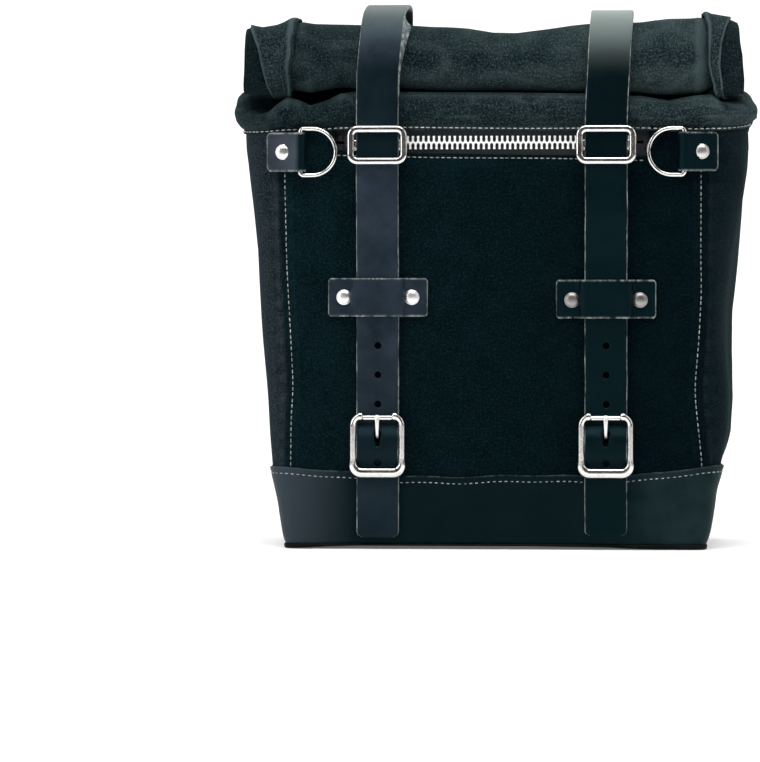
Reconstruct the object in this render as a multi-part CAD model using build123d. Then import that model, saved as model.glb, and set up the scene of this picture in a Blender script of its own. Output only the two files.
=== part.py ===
from build123d import *
import math
import os

# Roll-top pannier bag, millimetres. The front of the bag looks along -Y, +X is to the right as you face
# it, +Z is up, and the origin is the centre of the sole.
# Canvas body with a zipped front pocket, leather boot round the foot, two leather closure straps that
# run from the back over the rolled mouth, through a slide and a keeper, and into a roller buckle.
# Leather loops on the back hang the bag on a rack made of round tube.

# ---- driving dimensions: body -------------------------------------------------------------------
body_depth = 124.0            # canvas front face to canvas back face
foot_half_width = 134.0       # half the canvas width at the sole
shoulder_half_width = 163.0   # half the canvas width under the rolled mouth
foot_corner_radius = 5.0
shoulder_corner_radius = 30.0
wall_base_z = 3.4             # canvas walls stand on the sole from here
shoulder_z = 280.0            # top of the side gussets
seam_half_width = 129.0       # front and back panels run between the vertical seams
canvas = 2.0                  # canvas with its seam allowances
gap = 0.3                     # between sewn neighbours
boot_top_z = 47.0
boot_leather = 2.0
sole_thickness = 3.1
roll_centre_y, roll_centre_z = -44.3, 312.0
roll_size, roll_corner = 46.0, 18.0
roll_half_width = 158.0

# ---- driving dimensions: straps and hardware ----------------------------------------------------
strap_x = 72.6                # centre of each closure strap, left and right of the middle
strap_width, strap_leather = 27.0, 3.0
hole_radius, hole_pitch = 2.2, 18.7
buckle_z = 66.3               # height of the buckle's centre bar
slide_z = 257.0
keeper_z, keeper_height, keeper_half_width = 160.3, 24.6, 31.6
keeper_rivet_x = 22.4
zip_z, zip_half_length = 258.9, 101.0
zip_slider_x = -86.0          # slider at the closed end
tooth_pitch = 3.35
ring_bar_x, ring_z = 122.0, 252.8   # straight bar of each D-ring
ring_rivet_x = 133.0
rack_tube_radius = 8.0        # the rack's 16 mm tube
rack_loop_x = 112.0
upper_loop_z, lower_loop_z = 256.0, 70.0
upper_tail_z, lower_tail_z = 206.0, 115.0

front_y = -body_depth / 2     # canvas front face
back_y = body_depth / 2       # canvas back face


# ---- shared helpers -----------------------------------------------------------------------------
def ahead(distance):
    """Y of a point that stands this far in front of the canvas front face."""
    return front_y - distance


def side_prism(outline, x_from, x_to):
    """An outline drawn in (y, z), extruded from x_from to x_to."""
    return extrude(Pos(x_from, 0, 0) * (Plane.YZ * outline), amount=x_to - x_from, dir=(1, 0, 0))


def front_prism(outline, y_from, y_to):
    """An outline drawn in (x, z), extruded from y_from to y_to."""
    return extrude(Pos(0, y_from, 0) * (Plane.XZ * outline), amount=y_to - y_from, dir=(0, 1, 0))


def plan_prism(outline, z_from, z_to):
    """An outline drawn in (x, y), extruded from z_from to z_to."""
    return extrude(Pos(0, 0, z_from) * outline, amount=z_to - z_from, dir=(0, 0, 1))


def polygon(points):
    return make_face(Polyline(*points, close=True).edges())


def offset_polyline(points, distance):
    """The polyline moved to its left by distance, with mitred corners."""
    directions = [(Vector(*b) - Vector(*a)).normalized() for a, b in zip(points, points[1:])]
    normals = [Vector(-d.Y, d.X) for d in directions]
    moved = [Vector(*points[0]) + normals[0] * distance]
    for point, before, after in zip(points[1:-1], normals, normals[1:]):
        mitre = (before + after).normalized()
        moved.append(Vector(*point) + mitre * (distance / mitre.dot(before)))
    moved.append(Vector(*points[-1]) + normals[-1] * distance)
    return moved


def ribbon(points, radii, thickness):
    """A strip of constant thickness along a polyline whose corners are rounded by radii."""
    turns = []
    for a, b, c in zip(points, points[1:], points[2:]):
        cross = (b[0] - a[0]) * (c[1] - b[1]) - (b[1] - a[1]) * (c[0] - b[0])
        turns.append(math.copysign(1, cross))
    sides = []
    for side in (1, -1):
        corner_radii = [r - side * turn * thickness / 2 for r, turn in zip(radii, turns)]
        moved = offset_polyline(points, side * thickness / 2)
        sides.append(FilletPolyline(*moved, radius=corner_radii))
    left, right = sides
    ends = [Line(left @ 0, right @ 0), Line(left @ 1, right @ 1)]
    return make_face([*left.edges(), *right.edges(), *ends])


def half_width(z):
    share = (z - wall_base_z) / (shoulder_z - wall_base_z)
    return foot_half_width + (shoulder_half_width - foot_half_width) * share


def corner_radius(z):
    share = (z - wall_base_z) / (shoulder_z - wall_base_z)
    return foot_corner_radius + (shoulder_corner_radius - foot_corner_radius) * share


def body_block(inset, z_from, z_to, depth=body_depth, centre_y=0.0):
    """The tapered block inside the canvas faces, smaller all round by inset."""
    sections = []
    for z in (z_from, z_to):
        outline = RectangleRounded(2 * (half_width(z) - inset), depth - 2 * inset, corner_radius(z) - inset)
        sections.append(Pos(0, centre_y, z) * outline)
    return loft(sections, ruled=True)


def both_sides(shape):
    """(left, right): the right-hand shape and its mirror image."""
    return mirror(shape, about=Plane.YZ), shape


def along_y(radius, x, z, y_from, y_to):
    """A round bar or drill along Y."""
    return front_prism(Pos(x, z) * Circle(radius), y_from, y_to)


def along_x(radius, y, z, x_from, x_to):
    return side_prism(Pos(y, z) * Circle(radius), x_from, x_to)


# ---- rivets -------------------------------------------------------------------------------------
rivet_head, rivet_dome, rivet_crown = 4.8, 1.9, 7.5
rivet_post, rivet_back, rivet_back_height = 1.5, 4.0, 1.2
drill = rivet_post + 0.05


def rivet(x, z, face_y, grip, outward):
    """A double-cap rivet: domed head on face_y, post through grip, flat cap inside. outward is -1 or 1."""
    ball = Pos(0, 0, rivet_dome - rivet_crown) * Sphere(rivet_crown)
    dome = ball & (Pos(0, 0, rivet_dome / 2) * Cylinder(rivet_head, rivet_dome))
    post = Pos(0, 0, -grip / 2) * Cylinder(rivet_post, grip)
    cap = Pos(0, 0, -grip - rivet_back_height / 2) * Cylinder(rivet_back, rivet_back_height)
    return Pos(x, face_y, z) * (Rot(-90 * outward, 0, 0) * (dome + post + cap))


def drilled(shape, places, y_from, y_to):
    """shape with a rivet hole at each (x, z)."""
    for x, z in places:
        shape -= along_y(drill, x, z, y_from, y_to)
    return shape


keeper_rivets_at = [
    (side * strap_x + offset, keeper_z) for side in (-1, 1) for offset in (-keeper_rivet_x, keeper_rivet_x)
]
ring_rivets_at = [(-ring_rivet_x, ring_z), (ring_rivet_x, ring_z)]
anchor_rivets_at = [(side * strap_x, z) for side in (-1, 1) for z in (204.0, 220.0)]
upper_loop_rivets_at = [(side * rack_loop_x, z) for side in (-1, 1) for z in (216.0, 234.0)]
lower_loop_rivets_at = [(0.0, 91.0), (0.0, 106.0)]


# ---- canvas body --------------------------------------------------------------------------------
zip_window_half = 99.0
window_low_z, window_high_z = 249.2, 269.2


def gussets():
    """Side walls: each wraps both vertical corners and ends at the front and back panel seams."""
    ring = body_block(0, wall_base_z, shoulder_z) - body_block(canvas, wall_base_z, shoulder_z)
    reach = 2 * shoulder_half_width
    keep = Pos(seam_half_width + gap + reach / 2, 0, reach / 2) * Box(reach, reach, reach)
    right = drilled(ring & keep, ring_rivets_at, ahead(1), ahead(-canvas - 1))
    return both_sides(right)


def pocket_panel():
    """Outer wall of the front pocket, with the window that the zip fills."""
    outline = polygon([
        (-seam_half_width, wall_base_z), (seam_half_width, wall_base_z),
        (seam_half_width, window_high_z), (zip_window_half, window_high_z),
        (zip_window_half, window_low_z), (-zip_window_half, window_low_z),
        (-zip_window_half, window_high_z), (-seam_half_width, window_high_z),
    ])
    panel = front_prism(outline, front_y, front_y + canvas)
    return drilled(panel, keeper_rivets_at, ahead(1), ahead(-canvas - 1))


pocket_depth = 7.0
front_wall_y = front_y + canvas + pocket_depth


def front_wall():
    """Inner front wall, between the front pocket and the main compartment."""
    foot, head, top_z = 131.7, 150.2, 266.0
    outline = polygon([(-foot, wall_base_z + 2), (foot, wall_base_z + 2), (head, top_z), (-head, top_z)])
    return front_prism(outline, front_wall_y, front_wall_y + canvas)


def back_panel():
    outline = Pos(0, (wall_base_z + shoulder_z - 0.4) / 2) * Rectangle(
        2 * seam_half_width, shoulder_z - 0.4 - wall_base_z
    )
    places = anchor_rivets_at + upper_loop_rivets_at + lower_loop_rivets_at
    return drilled(front_prism(outline, back_y - canvas, back_y), places, back_y - canvas - 1, back_y + 1)


def shoulder_panel():
    """Canvas above the zip: it bulges forward, runs back under the roll and up behind it."""
    line = [(-63.4, 269.6), (-66.4, 274.5), (-66.4, 283.5), (-59.0, 287.6), (-19.8, 287.6), (-19.8, 325.0)]
    return side_prism(ribbon(line, [6, 6, 5, 3], canvas), -shoulder_half_width, shoulder_half_width)


def neck_canvas():
    """Back of the neck: from the top of the back wall up to the roll."""
    line = [(back_y - 1, shoulder_z + 1), (back_y - 1, 285.5), (-30.3, 334.0)]
    return side_prism(ribbon(line, [4], canvas), -roll_half_width, roll_half_width)


def neck_folds():
    """The gusset canvas folded inward at each end of the neck."""
    outline = polygon([
        (59.0, 280.6), (59.0, 284.0), (-17.8, 324.6), (-17.8, 288.0),
        (-22.0, 285.9), (-54.0, 285.9), (-60.0, 283.5), (-60.0, 280.6),
    ])
    return both_sides(side_prism(outline, roll_half_width - canvas, roll_half_width))


stay_height, stay_thickness, stay_half_length = 28.0, 2.5, 150.0


def roll_top():
    """The rolled mouth, with the flat core that holds its stay."""
    outline = Pos(roll_centre_y, roll_centre_z) * (
        RectangleRounded(roll_size, roll_size, roll_corner)
        - Rectangle(stay_thickness + 1, stay_height + 1)
    )
    return side_prism(outline, -roll_half_width, roll_half_width)


def roll_stay():
    outline = Pos(roll_centre_y, roll_centre_z) * Rectangle(stay_thickness, stay_height)
    return side_prism(outline, -stay_half_length, stay_half_length)


def bottom_panel():
    return body_block(canvas + gap, wall_base_z, wall_base_z + 1.6)


# ---- leather boot, sole and boards --------------------------------------------------------------
def base_boot():
    outer = body_block(-boot_leather - 0.2, sole_thickness + 0.1, boot_top_z)
    return outer - body_block(-0.2, sole_thickness + 0.1, boot_top_z)


def base_sole():
    lip = 3.0
    outline = RectangleRounded(2 * (foot_half_width + lip), body_depth + 2 * lip, foot_corner_radius + lip)
    return plan_prism(outline, 0, sole_thickness)


def compartment_block(side_gap, inset, low_z, high_z):
    """A tapered block between the front wall and the back board, side_gap from the side canvas."""
    low_y, high_y = front_wall_y + canvas + 0.4, board_y - 0.4
    depth, centre = high_y - low_y, (high_y + low_y) / 2
    return body_block(side_gap + inset, low_z, high_z, depth + 2 * side_gap, centre)


board_y = 55.2
board_thickness = 3.0


def base_board():
    return compartment_block(3.5, 0, 5.2, 8.2)


def back_board():
    outline = Pos(0, 137) * RectangleRounded(240, 250, 12)
    return front_prism(outline, board_y, board_y + board_thickness)


def inner_liner():
    """Loose waterproof liner, open at the top."""
    film, low_z, high_z, side_gap = 0.8, 8.5, 272.0, 4.5
    outer = compartment_block(side_gap, 0, low_z, high_z)
    return outer - compartment_block(side_gap, film, low_z + film, high_z + 5)


# ---- zip ----------------------------------------------------------------------------------------
tape_ahead = -2.5             # front face of the tapes, behind the panel edges
chain_gap = 0.6               # each row of teeth stops this far from the middle
tooth_height, tooth_thickness, tooth_width = 3.5, 3.4, 1.75


def zip_tapes():
    upper = Pos(0, zip_z + 0.8 + 5.6) * Rectangle(2 * zip_half_length, 11.2)
    lower = Pos(0, zip_z - 0.8 - 5.8) * Rectangle(2 * zip_half_length, 11.6)
    return [front_prism(tape, ahead(tape_ahead), ahead(tape_ahead) + 1.0) for tape in (upper, lower)]


def zip_teeth(side):
    """One row of separate metal teeth: side is 1 above the middle and -1 below."""
    count = 54
    first_x = -84.0 + (0 if side > 0 else tooth_pitch / 2)
    tooth_y = ahead(tape_ahead - 0.5)
    row = []
    for number in range(count):
        centre_z = zip_z + side * (chain_gap + tooth_height / 2)
        tooth = Box(tooth_width, tooth_thickness, tooth_height)
        row.append(Pos(first_x + number * tooth_pitch, tooth_y, centre_z) * tooth)
    return row


def zip_end_stops():
    """A bottom stop past the last tooth and two top stops at the closed end."""
    y = ahead(tape_ahead - 0.5)
    bottom = Pos(97.5, y, zip_z) * Box(2.6, 3.4, 7.0)
    tops = [Pos(-97.0, y, zip_z + side * 3.0) * Box(2.2, 3.4, 3.4) for side in (-1, 1)]
    return [bottom, *tops]


slider_front, slider_half_height, slider_half_length = 0.9, 4.9, 8.0
slider_plate, slider_back = 1.7, -5.1
web_thickness, flange_height, flange_depth = 0.7, 0.6, 2.0
pull_x = zip_slider_x + 4.5   # the crown sits towards the tail of the slider
pull_post, pull_low, pull_thickness = 1.5, 1.2, 1.4
crown_radius, crown_low, crown_high = 2.3, 3.0, 3.8


def zip_slider():
    """Two plates joined by a web that runs between the rows of teeth, with edge flanges and a crown."""
    length, height = 2 * slider_half_length, 2 * slider_half_height
    plate_outline = Pos(zip_slider_x, zip_z) * RectangleRounded(length, height, 3.0)
    body = front_prism(plate_outline, ahead(slider_front), ahead(slider_front) + slider_plate)
    body += front_prism(plate_outline, ahead(slider_back), ahead(slider_back) + slider_plate)
    web = Pos(zip_slider_x, zip_z) * Rectangle(length - 5, web_thickness)
    body += front_prism(web, ahead(slider_front - slider_plate / 2), ahead(slider_back) + slider_plate / 2)
    for side in (-1, 1):
        flange_z = zip_z + side * (slider_half_height - flange_height / 2)
        flange = Pos(zip_slider_x, flange_z) * Rectangle(length - 7, flange_height)
        body += front_prism(flange, ahead(0), ahead(-flange_depth))
    body += along_y(pull_post, pull_x, zip_z, ahead(crown_low), ahead(slider_front))
    body += along_y(crown_radius, pull_x, zip_z, ahead(crown_high), ahead(crown_low))
    return body


def zip_pull():
    """Flat tab that hangs from the crown."""
    reach, stem_width, grip_width, grip_length = 24.0, 4.8, 6.4, 15.0
    tab = Pos(pull_x, zip_z - reach / 2) * Rectangle(stem_width, reach)
    grip = Pos(pull_x, zip_z - reach + 6.0) * RectangleRounded(grip_width, grip_length, 2.4)
    eye = Pos(pull_x, zip_z) * Circle(3.2)
    hole = Pos(pull_x, zip_z) * Circle(pull_post + 0.1)
    return front_prism(tab + grip + eye - hole, ahead(pull_low + pull_thickness), ahead(pull_low))


# ---- closure straps, slides, keepers ------------------------------------------------------------
strap_low = 2.6               # back face of the strap ahead of the canvas, over the boot and panel
strap_high = 6.0              # the same beside the zip and roll
strap_over_bar = 7.2          # the same where it rides over the buckle's centre bar
strap_rear = 2.5              # its gap to the canvas down the back
strap_tip_z, strap_top_z = 8.0, 346.5
centre_of = strap_leather / 2


def closure_strap():
    """From the tip at the foot, over the buckle's centre bar, up the face, over the roll, down the back."""
    low, high, crest = (ahead(rise + centre_of) for rise in (strap_low, strap_high, strap_over_bar))
    rear = back_y + strap_rear + centre_of
    line = [
        (low, strap_tip_z), (low, buckle_z - 12.8), (crest, buckle_z - 5.3), (crest, buckle_z + 4.9),
        (low, buckle_z + 13.0), (low, 182.0), (high, 214.0), (high, strap_top_z), (-30.0, strap_top_z),
        (rear, 292.0), (rear, 196.0),
    ]
    profile = ribbon(line, [9, 9, 9, 9, 60, 60, 32, 26, 22], strap_leather)
    strap = side_prism(profile, strap_x - strap_width / 2, strap_x + strap_width / 2)
    tip_corners = strap.edges().filter_by(Axis.Y).filter_by(lambda e: e.center().Z < strap_tip_z + 1)
    strap = fillet(tip_corners, 4.0)
    for number in range(-1, 4):
        strap -= along_y(hole_radius, strap_x, buckle_z + 7.3 + number * hole_pitch, ahead(12), ahead(1))
    slot_low, slot_high = buckle_z - 0.6, buckle_z + 9.8
    slot = Pos(strap_x, (slot_low + slot_high) / 2) * SlotOverall(slot_high - slot_low, 3.9, rotation=90)
    strap -= front_prism(slot, ahead(12), ahead(4))
    right = drilled(strap, anchor_rivets_at[2:], back_y, back_y + 10)
    return both_sides(right)


def strap_slide():
    """Slide with a front loop over the strap and a centre bar behind it."""
    outer_w, outer_h, inner_w, inner_h, depth = 38.0, 24.8, 28.4, 15.8, 3.2
    ring = RectangleRounded(outer_w, outer_h, 6) - RectangleRounded(inner_w, inner_h, 3)
    loop = Pos(strap_x, slide_z) * ring
    loop_back = strap_high + strap_leather + 0.3
    body = front_prism(loop, ahead(loop_back + depth), ahead(loop_back))
    body = fillet(body.edges(), 1.1)
    bar_front, bar_thickness, bar_height = strap_high - 0.3, 1.5, 7.0
    bar = Pos(strap_x, slide_z) * Rectangle(outer_w - 1, bar_height)
    body += front_prism(bar, ahead(bar_front), ahead(bar_front - bar_thickness))
    lug_width = (outer_w - 1 - inner_w) / 2
    for side in (-1, 1):
        lug = Pos(strap_x + side * (inner_w + lug_width) / 2, slide_z) * Rectangle(lug_width, bar_height)
        body += front_prism(lug, ahead(loop_back + 1), ahead(bar_front - bar_thickness))
    return both_sides(body)


def strap_keeper():
    """Leather band riveted each side of the strap."""
    foot_ahead, top_ahead = 1.3, strap_low + strap_leather + 0.3 + 1.0
    half = [(keeper_half_width, foot_ahead), (16.4, foot_ahead), (15.4, top_ahead)]
    line = [(strap_x - x, ahead(a)) for x, a in half] + [(strap_x + x, ahead(a)) for x, a in reversed(half)]
    band = plan_prism(ribbon(line, [1.2, 1.6, 1.6, 1.2], canvas), keeper_z - keeper_height / 2,
                      keeper_z + keeper_height / 2)
    end = keeper_half_width - 0.6
    corners = band.edges().filter_by(Axis.Y).filter_by(lambda e: abs(e.center().X - strap_x) > end)
    band = fillet(corners, 1.8)
    return both_sides(drilled(band, keeper_rivets_at[2:], ahead(4), ahead(0)))


# ---- buckles ------------------------------------------------------------------------------------
frame_w, frame_h, frame_corner = 35.0, 40.0, 8.0
frame_inner_w, frame_inner_h = 27.8, 29.6
frame_back = strap_low + strap_leather + 0.3
frame_depth = 3.8
bar_ahead, bar_radius = 3.6, 1.6
roller_z, roller_ahead = buckle_z + 17.4, 7.9
roller_radius, roller_bore, roller_half = 1.7, 1.0, 9.0


def buckle_frame():
    """Rounded frame, open at the top where a thin rod carries the roller, with a recessed centre bar."""
    loop = RectangleRounded(frame_w, frame_h, frame_corner)
    loop -= RectangleRounded(frame_inner_w, frame_inner_h, 5)
    body = front_prism(Pos(strap_x, buckle_z) * loop, ahead(frame_back + frame_depth), ahead(frame_back))
    body = fillet(body.edges(), 1.3)
    body -= Pos(strap_x, ahead(8), buckle_z + 17) * Box(2 * roller_half + 0.6, 12, 7)
    body += along_x(roller_bore - 0.08, ahead(roller_ahead), roller_z, strap_x - 11, strap_x + 11)
    bar_half = frame_w / 2 - 0.6
    body += along_x(bar_radius, ahead(bar_ahead), buckle_z, strap_x - bar_half, strap_x + bar_half)
    lug_w = (frame_w - frame_inner_w) / 2 - 0.6
    for side in (-1, 1):
        lug = Pos(strap_x + side * (frame_inner_w + lug_w) / 2, buckle_z) * Rectangle(lug_w, 6)
        body += front_prism(lug, ahead(frame_back + 1), ahead(bar_ahead - bar_radius))
    return both_sides(body)


def buckle_roller():
    tube = Pos(ahead(roller_ahead), roller_z) * (Circle(roller_radius) - Circle(roller_bore))
    return both_sides(side_prism(tube, strap_x - roller_half, strap_x + roller_half))


def buckle_prong():
    """Eye round the centre bar, arm out through the strap's hole, tip on the roller."""
    eye = Pos(ahead(bar_ahead), buckle_z) * Circle(3.1)
    arm = ribbon([
        (ahead(bar_ahead + 1.2), buckle_z + 1.4), (ahead(11.4), buckle_z + 9.0),
        (ahead(10.95), roller_z + 2.2),
    ], [4.0], 2.0)
    bore = Pos(ahead(bar_ahead), buckle_z) * Circle(bar_radius + 0.08)
    return both_sides(side_prism(eye + arm - bore, strap_x - 1.3, strap_x + 1.3))


def buckle_chape():
    """Leather tab folded round the centre bar, slit for the prong, its end sewn at the boot's edge."""
    fold = Pos(ahead(bar_ahead), buckle_z) * Circle(3.3)
    tab = polygon([(ahead(0.3), boot_top_z + 0.3), (ahead(0.3), buckle_z), (ahead(2.2), buckle_z),
                   (ahead(2.2), boot_top_z + 0.3)])
    bore = Pos(ahead(bar_ahead), buckle_z) * Circle(bar_radius + 0.08)
    body = side_prism(fold + tab - bore, strap_x - 12.5, strap_x + 12.5)
    body -= Pos(strap_x, ahead(4), buckle_z + 1) * Box(3.4, 8.2, 9.4)
    return both_sides(body)


# ---- D-rings ------------------------------------------------------------------------------------
ring_wire, ring_ahead = 1.5, 4.6
ring_half_height, ring_leg, ring_corner = 14.8, 7.7, 2.2
tab_height, tab_end_x = 24.6, 143.5


def d_ring():
    """Lies flat with its bow towards the middle of the bag."""
    bar, bow = ring_bar_x, ring_bar_x - ring_leg
    top, low = ring_z + ring_half_height, ring_z - ring_half_height
    straight = FilletPolyline((bow, top), (bar, top), (bar, low), (bow, low), radius=ring_corner)
    arc = ThreePointArc((bow, low), (bow - ring_half_height, ring_z), (bow, top))
    path = Pos(0, ahead(ring_ahead), 0) * (Plane.XZ * Wire([*straight.edges(), *arc.edges()]))
    start = path.position_at(0)
    section = Plane(start, z_dir=path.tangent_at(0)) * Circle(ring_wire)
    return both_sides(sweep(section, path=path))


def d_ring_tab():
    """Leather folded round the ring's bar, its two layers riveted together."""
    fold = Pos(ring_bar_x, ahead(ring_ahead)) * Circle(3.9)
    layers = polygon([(ring_bar_x, ahead(0.5)), (tab_end_x, ahead(0.5)), (tab_end_x, ahead(4.5)),
                      (ring_bar_x + 3.0, ahead(4.5)), (ring_bar_x, ahead(8.3))])
    bore = Pos(ring_bar_x, ahead(ring_ahead)) * Circle(ring_wire + 0.08)
    body = plan_prism(fold + layers - bore, ring_z - tab_height / 2, ring_z + tab_height / 2)
    corners = body.edges().filter_by(Axis.Y).filter_by(lambda e: e.center().X > tab_end_x - 0.1)
    body = fillet(corners, 2.5)
    return both_sides(drilled(body, ring_rivets_at, ahead(6), ahead(0)))


# ---- back: yoke, patch and rack loops -----------------------------------------------------------
yoke_z, yoke_height = 231.0, 82.0
patch_z, patch_width, patch_height = 83.5, 60.0, 66.0
patch_corner, patch_leather = 8.0, 2.0
patch_y = back_y + 0.2
loop_y = patch_y + patch_leather + 0.3
loop_leather, loop_half_width = 2.4, 15.0
loop_bore = rack_tube_radius + 0.5


def back_yoke():
    outline = Pos(0, yoke_z) * RectangleRounded(2 * seam_half_width - 4, yoke_height, patch_corner)
    places = anchor_rivets_at + upper_loop_rivets_at
    return drilled(front_prism(outline, patch_y, patch_y + patch_leather), places, back_y, loop_y)


def lower_patch():
    outline = Pos(0, patch_z) * RectangleRounded(patch_width, patch_height, patch_corner)
    patch = front_prism(outline, patch_y, patch_y + patch_leather)
    return drilled(patch, lower_loop_rivets_at, back_y, loop_y)


def rack_loop(x, tube_z, tail_z, places):
    """Leather loop round a horizontal tube, with a tail riveted to the bag."""
    centre_y = loop_y + loop_bore + loop_leather
    ring = Pos(centre_y, tube_z) * Circle(loop_bore + loop_leather)
    tail_low, tail_high = sorted((tail_z, tube_z))
    tail = Pos(loop_y + loop_leather / 2, (tail_low + tail_high) / 2) * Rectangle(
        loop_leather, tail_high - tail_low
    )
    bore = Pos(centre_y, tube_z) * Circle(loop_bore)
    body = side_prism(ring + tail - bore, x - loop_half_width, x + loop_half_width)
    return drilled(body, places, loop_y - 1, loop_y + loop_leather + 1)


# ---- groups of rivets ---------------------------------------------------------------------------
def rivet_group(places, face_y, inner_y):
    outward = -1 if face_y < inner_y else 1
    return [rivet(x, z, face_y, abs(face_y - inner_y), outward) for x, z in places]


# ---- export -------------------------------------------------------------------------------------
def export(name, shape):
    solids = shape if isinstance(shape, list) else shape.solids()
    solids = [solid for item in solids for solid in item.solids()]
    export_step(Compound(children=solids) if len(solids) > 1 else solids[0], f"parts/{name}.step")


def export_pair(name, pair):
    for side, shape in zip(("left", "right"), pair):
        export(f"{name}_{side}", shape)


os.makedirs("parts", exist_ok=True)

export_pair("side_gusset", gussets())
export("pocket_panel", pocket_panel())
export("front_wall", front_wall())
export("back_panel", back_panel())
export("shoulder_panel", shoulder_panel())
export("neck_canvas", neck_canvas())
export_pair("neck_fold", neck_folds())
export("roll_top", roll_top())
export("roll_stay", roll_stay())
export("bottom_panel", bottom_panel())
export("base_boot", base_boot())
export("base_sole", base_sole())
export("base_board", base_board())
export("back_board", back_board())
export("inner_liner", inner_liner())

for tape_name, tape in zip(("upper", "lower"), zip_tapes()):
    export(f"zip_tape_{tape_name}", tape)
export("zip_teeth_upper", zip_teeth(1))
export("zip_teeth_lower", zip_teeth(-1))
export("zip_end_stops", zip_end_stops())
export("zip_slider", zip_slider())
export("zip_pull", zip_pull())

export_pair("closure_strap", closure_strap())
export_pair("strap_slide", strap_slide())
export_pair("strap_keeper", strap_keeper())
export("keeper_rivets", rivet_group(keeper_rivets_at, ahead(2.3), front_y + canvas))

export_pair("buckle_frame", buckle_frame())
export_pair("buckle_roller", buckle_roller())
export_pair("buckle_prong", buckle_prong())
export_pair("buckle_chape", buckle_chape())

export_pair("d_ring", d_ring())
export_pair("d_ring_tab", d_ring_tab())
export("d_ring_rivets", rivet_group(ring_rivets_at, ahead(4.5), front_y + canvas + 0.5))

export("back_yoke", back_yoke())
export("lower_patch", lower_patch())
export("rack_loop_left", rack_loop(-rack_loop_x, upper_loop_z, upper_tail_z, upper_loop_rivets_at))
export("rack_loop_right", rack_loop(rack_loop_x, upper_loop_z, upper_tail_z, upper_loop_rivets_at))
export("rack_loop_lower", rack_loop(0.0, lower_loop_z, lower_tail_z, lower_loop_rivets_at))
loop_face = loop_y + loop_leather
loop_rivets_at = upper_loop_rivets_at + lower_loop_rivets_at
export("rack_loop_rivets", rivet_group(loop_rivets_at, loop_face, back_y - canvas))
strap_face = back_y + strap_rear + strap_leather
export("strap_anchor_rivets", rivet_group(anchor_rivets_at, strap_face, back_y - canvas))
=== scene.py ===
import math

import bmesh
import bpy
import numpy as np
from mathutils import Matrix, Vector, noise


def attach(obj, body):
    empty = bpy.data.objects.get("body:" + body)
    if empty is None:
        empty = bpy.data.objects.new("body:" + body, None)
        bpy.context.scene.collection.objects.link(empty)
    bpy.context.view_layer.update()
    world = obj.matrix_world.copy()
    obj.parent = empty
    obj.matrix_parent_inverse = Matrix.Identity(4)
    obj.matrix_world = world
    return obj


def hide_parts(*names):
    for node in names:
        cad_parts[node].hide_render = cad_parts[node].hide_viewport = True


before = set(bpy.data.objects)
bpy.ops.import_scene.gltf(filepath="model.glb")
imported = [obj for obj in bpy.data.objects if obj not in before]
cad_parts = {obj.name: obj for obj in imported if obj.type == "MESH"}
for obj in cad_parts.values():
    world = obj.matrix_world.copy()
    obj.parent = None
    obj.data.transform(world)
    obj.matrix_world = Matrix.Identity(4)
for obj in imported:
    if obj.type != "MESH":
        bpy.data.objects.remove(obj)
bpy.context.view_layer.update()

MM = 0.001                     # every length below is in millimetres until it reaches a mesh
SIDES = ((-1, "left"), (1, "right"))

# ---- body: sizes read off the finished bag --------------------------------------------------------
FRONT_Y, BACK_Y = -62.0, 62.0
CANVAS = 1.5
SEAM_X = 133.6                 # vertical edges of the front and back panels
# where the stitching of the side seams runs, at heights above the sole
SEAM_HEIGHTS = [0, 52, 77, 88, 102, 130, 165, 184, 238, 270]
SEAM_LEFT = [128.7, 128.7, 128.4, 128.2, 126.8, 128.3, 130.2, 131.2, 132.4, 132.4]
SEAM_RIGHT = [134, 133.8, 131.3, 130, 128.8, 131.3, 133.2, 132.6, 132.7, 132.7]
STITCH_INSET = 2.6             # from the panel's edge to its stitching
# half widths of the canvas at heights above the sole, left and right of the middle
HEIGHTS = [0, 12, 25, 37, 50, 75, 95, 127, 152, 191, 223, 255, 269, 281, 290, 300]
LEFT_WIDTHS = [130.8, 133.1, 135.6, 138.2, 141, 142.4, 143.3, 145.5, 147.6, 150.6, 155, 159.8, 160.2, 163.2,
               161.4, 158.8]
RIGHT_WIDTHS = [134.6, 137.4, 139.5, 141.4, 145.1, 149.6, 150.8, 149.5, 149.8, 153.4, 157, 164, 163.4, 162.6,
                160, 157.4]
RADIUS_HEIGHTS = [0, 25, 50, 95, 160, 223, 269, 300]
CORNER_RADII = [6, 8, 11, 14, 19, 24, 28, 29]
SHOULDER_LOW = 266.6           # folded lower edge of the canvas above the zip
WINDOW_LOW, WINDOW_HALF, ZIP_TILT = 251.2, 99.5, -0.016
HEM_INSET = 2.2                # from the window's edge to its stitching
PANEL_FOOT = 30.0              # the canvas runs down this far behind the boot
SIDE_TOP, BACK_TOP = 274.0, 281.0   # where the side walls and the back panel end
BACK_ROUND = 28.0              # radius of the back corners at the shoulder

# ---- rolled mouth -----------------------------------------------------------------------------------
ROLL_Y, ROLL_DEPTH = -44.3, 22.4
# (x, height) along the roll's upper and lower outlines
ROLL_TOP = [(-162, 331.5), (-155, 333.4), (-147, 331.9), (-138, 333), (-130, 335.6), (-122, 336.6),
            (-114, 335.6), (-60, 335), (-15, 332.8), (0, 330), (15, 330), (40, 333.2), (60, 335.4), (95, 336),
            (112, 337.6), (127, 337.9), (135, 339), (150, 337.6), (158, 334)]
ROLL_LOW = [(-162, 290), (-128, 289.6), (-117, 287.6), (-97, 291.2), (-60, 291), (0, 290.4), (60, 289.6),
            (112, 287), (140, 288.4), (158, 290)]
ROLL_TURNS, ROLL_PITCH = 2.35, 3.1
SQUARENESS = 2.7

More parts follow.
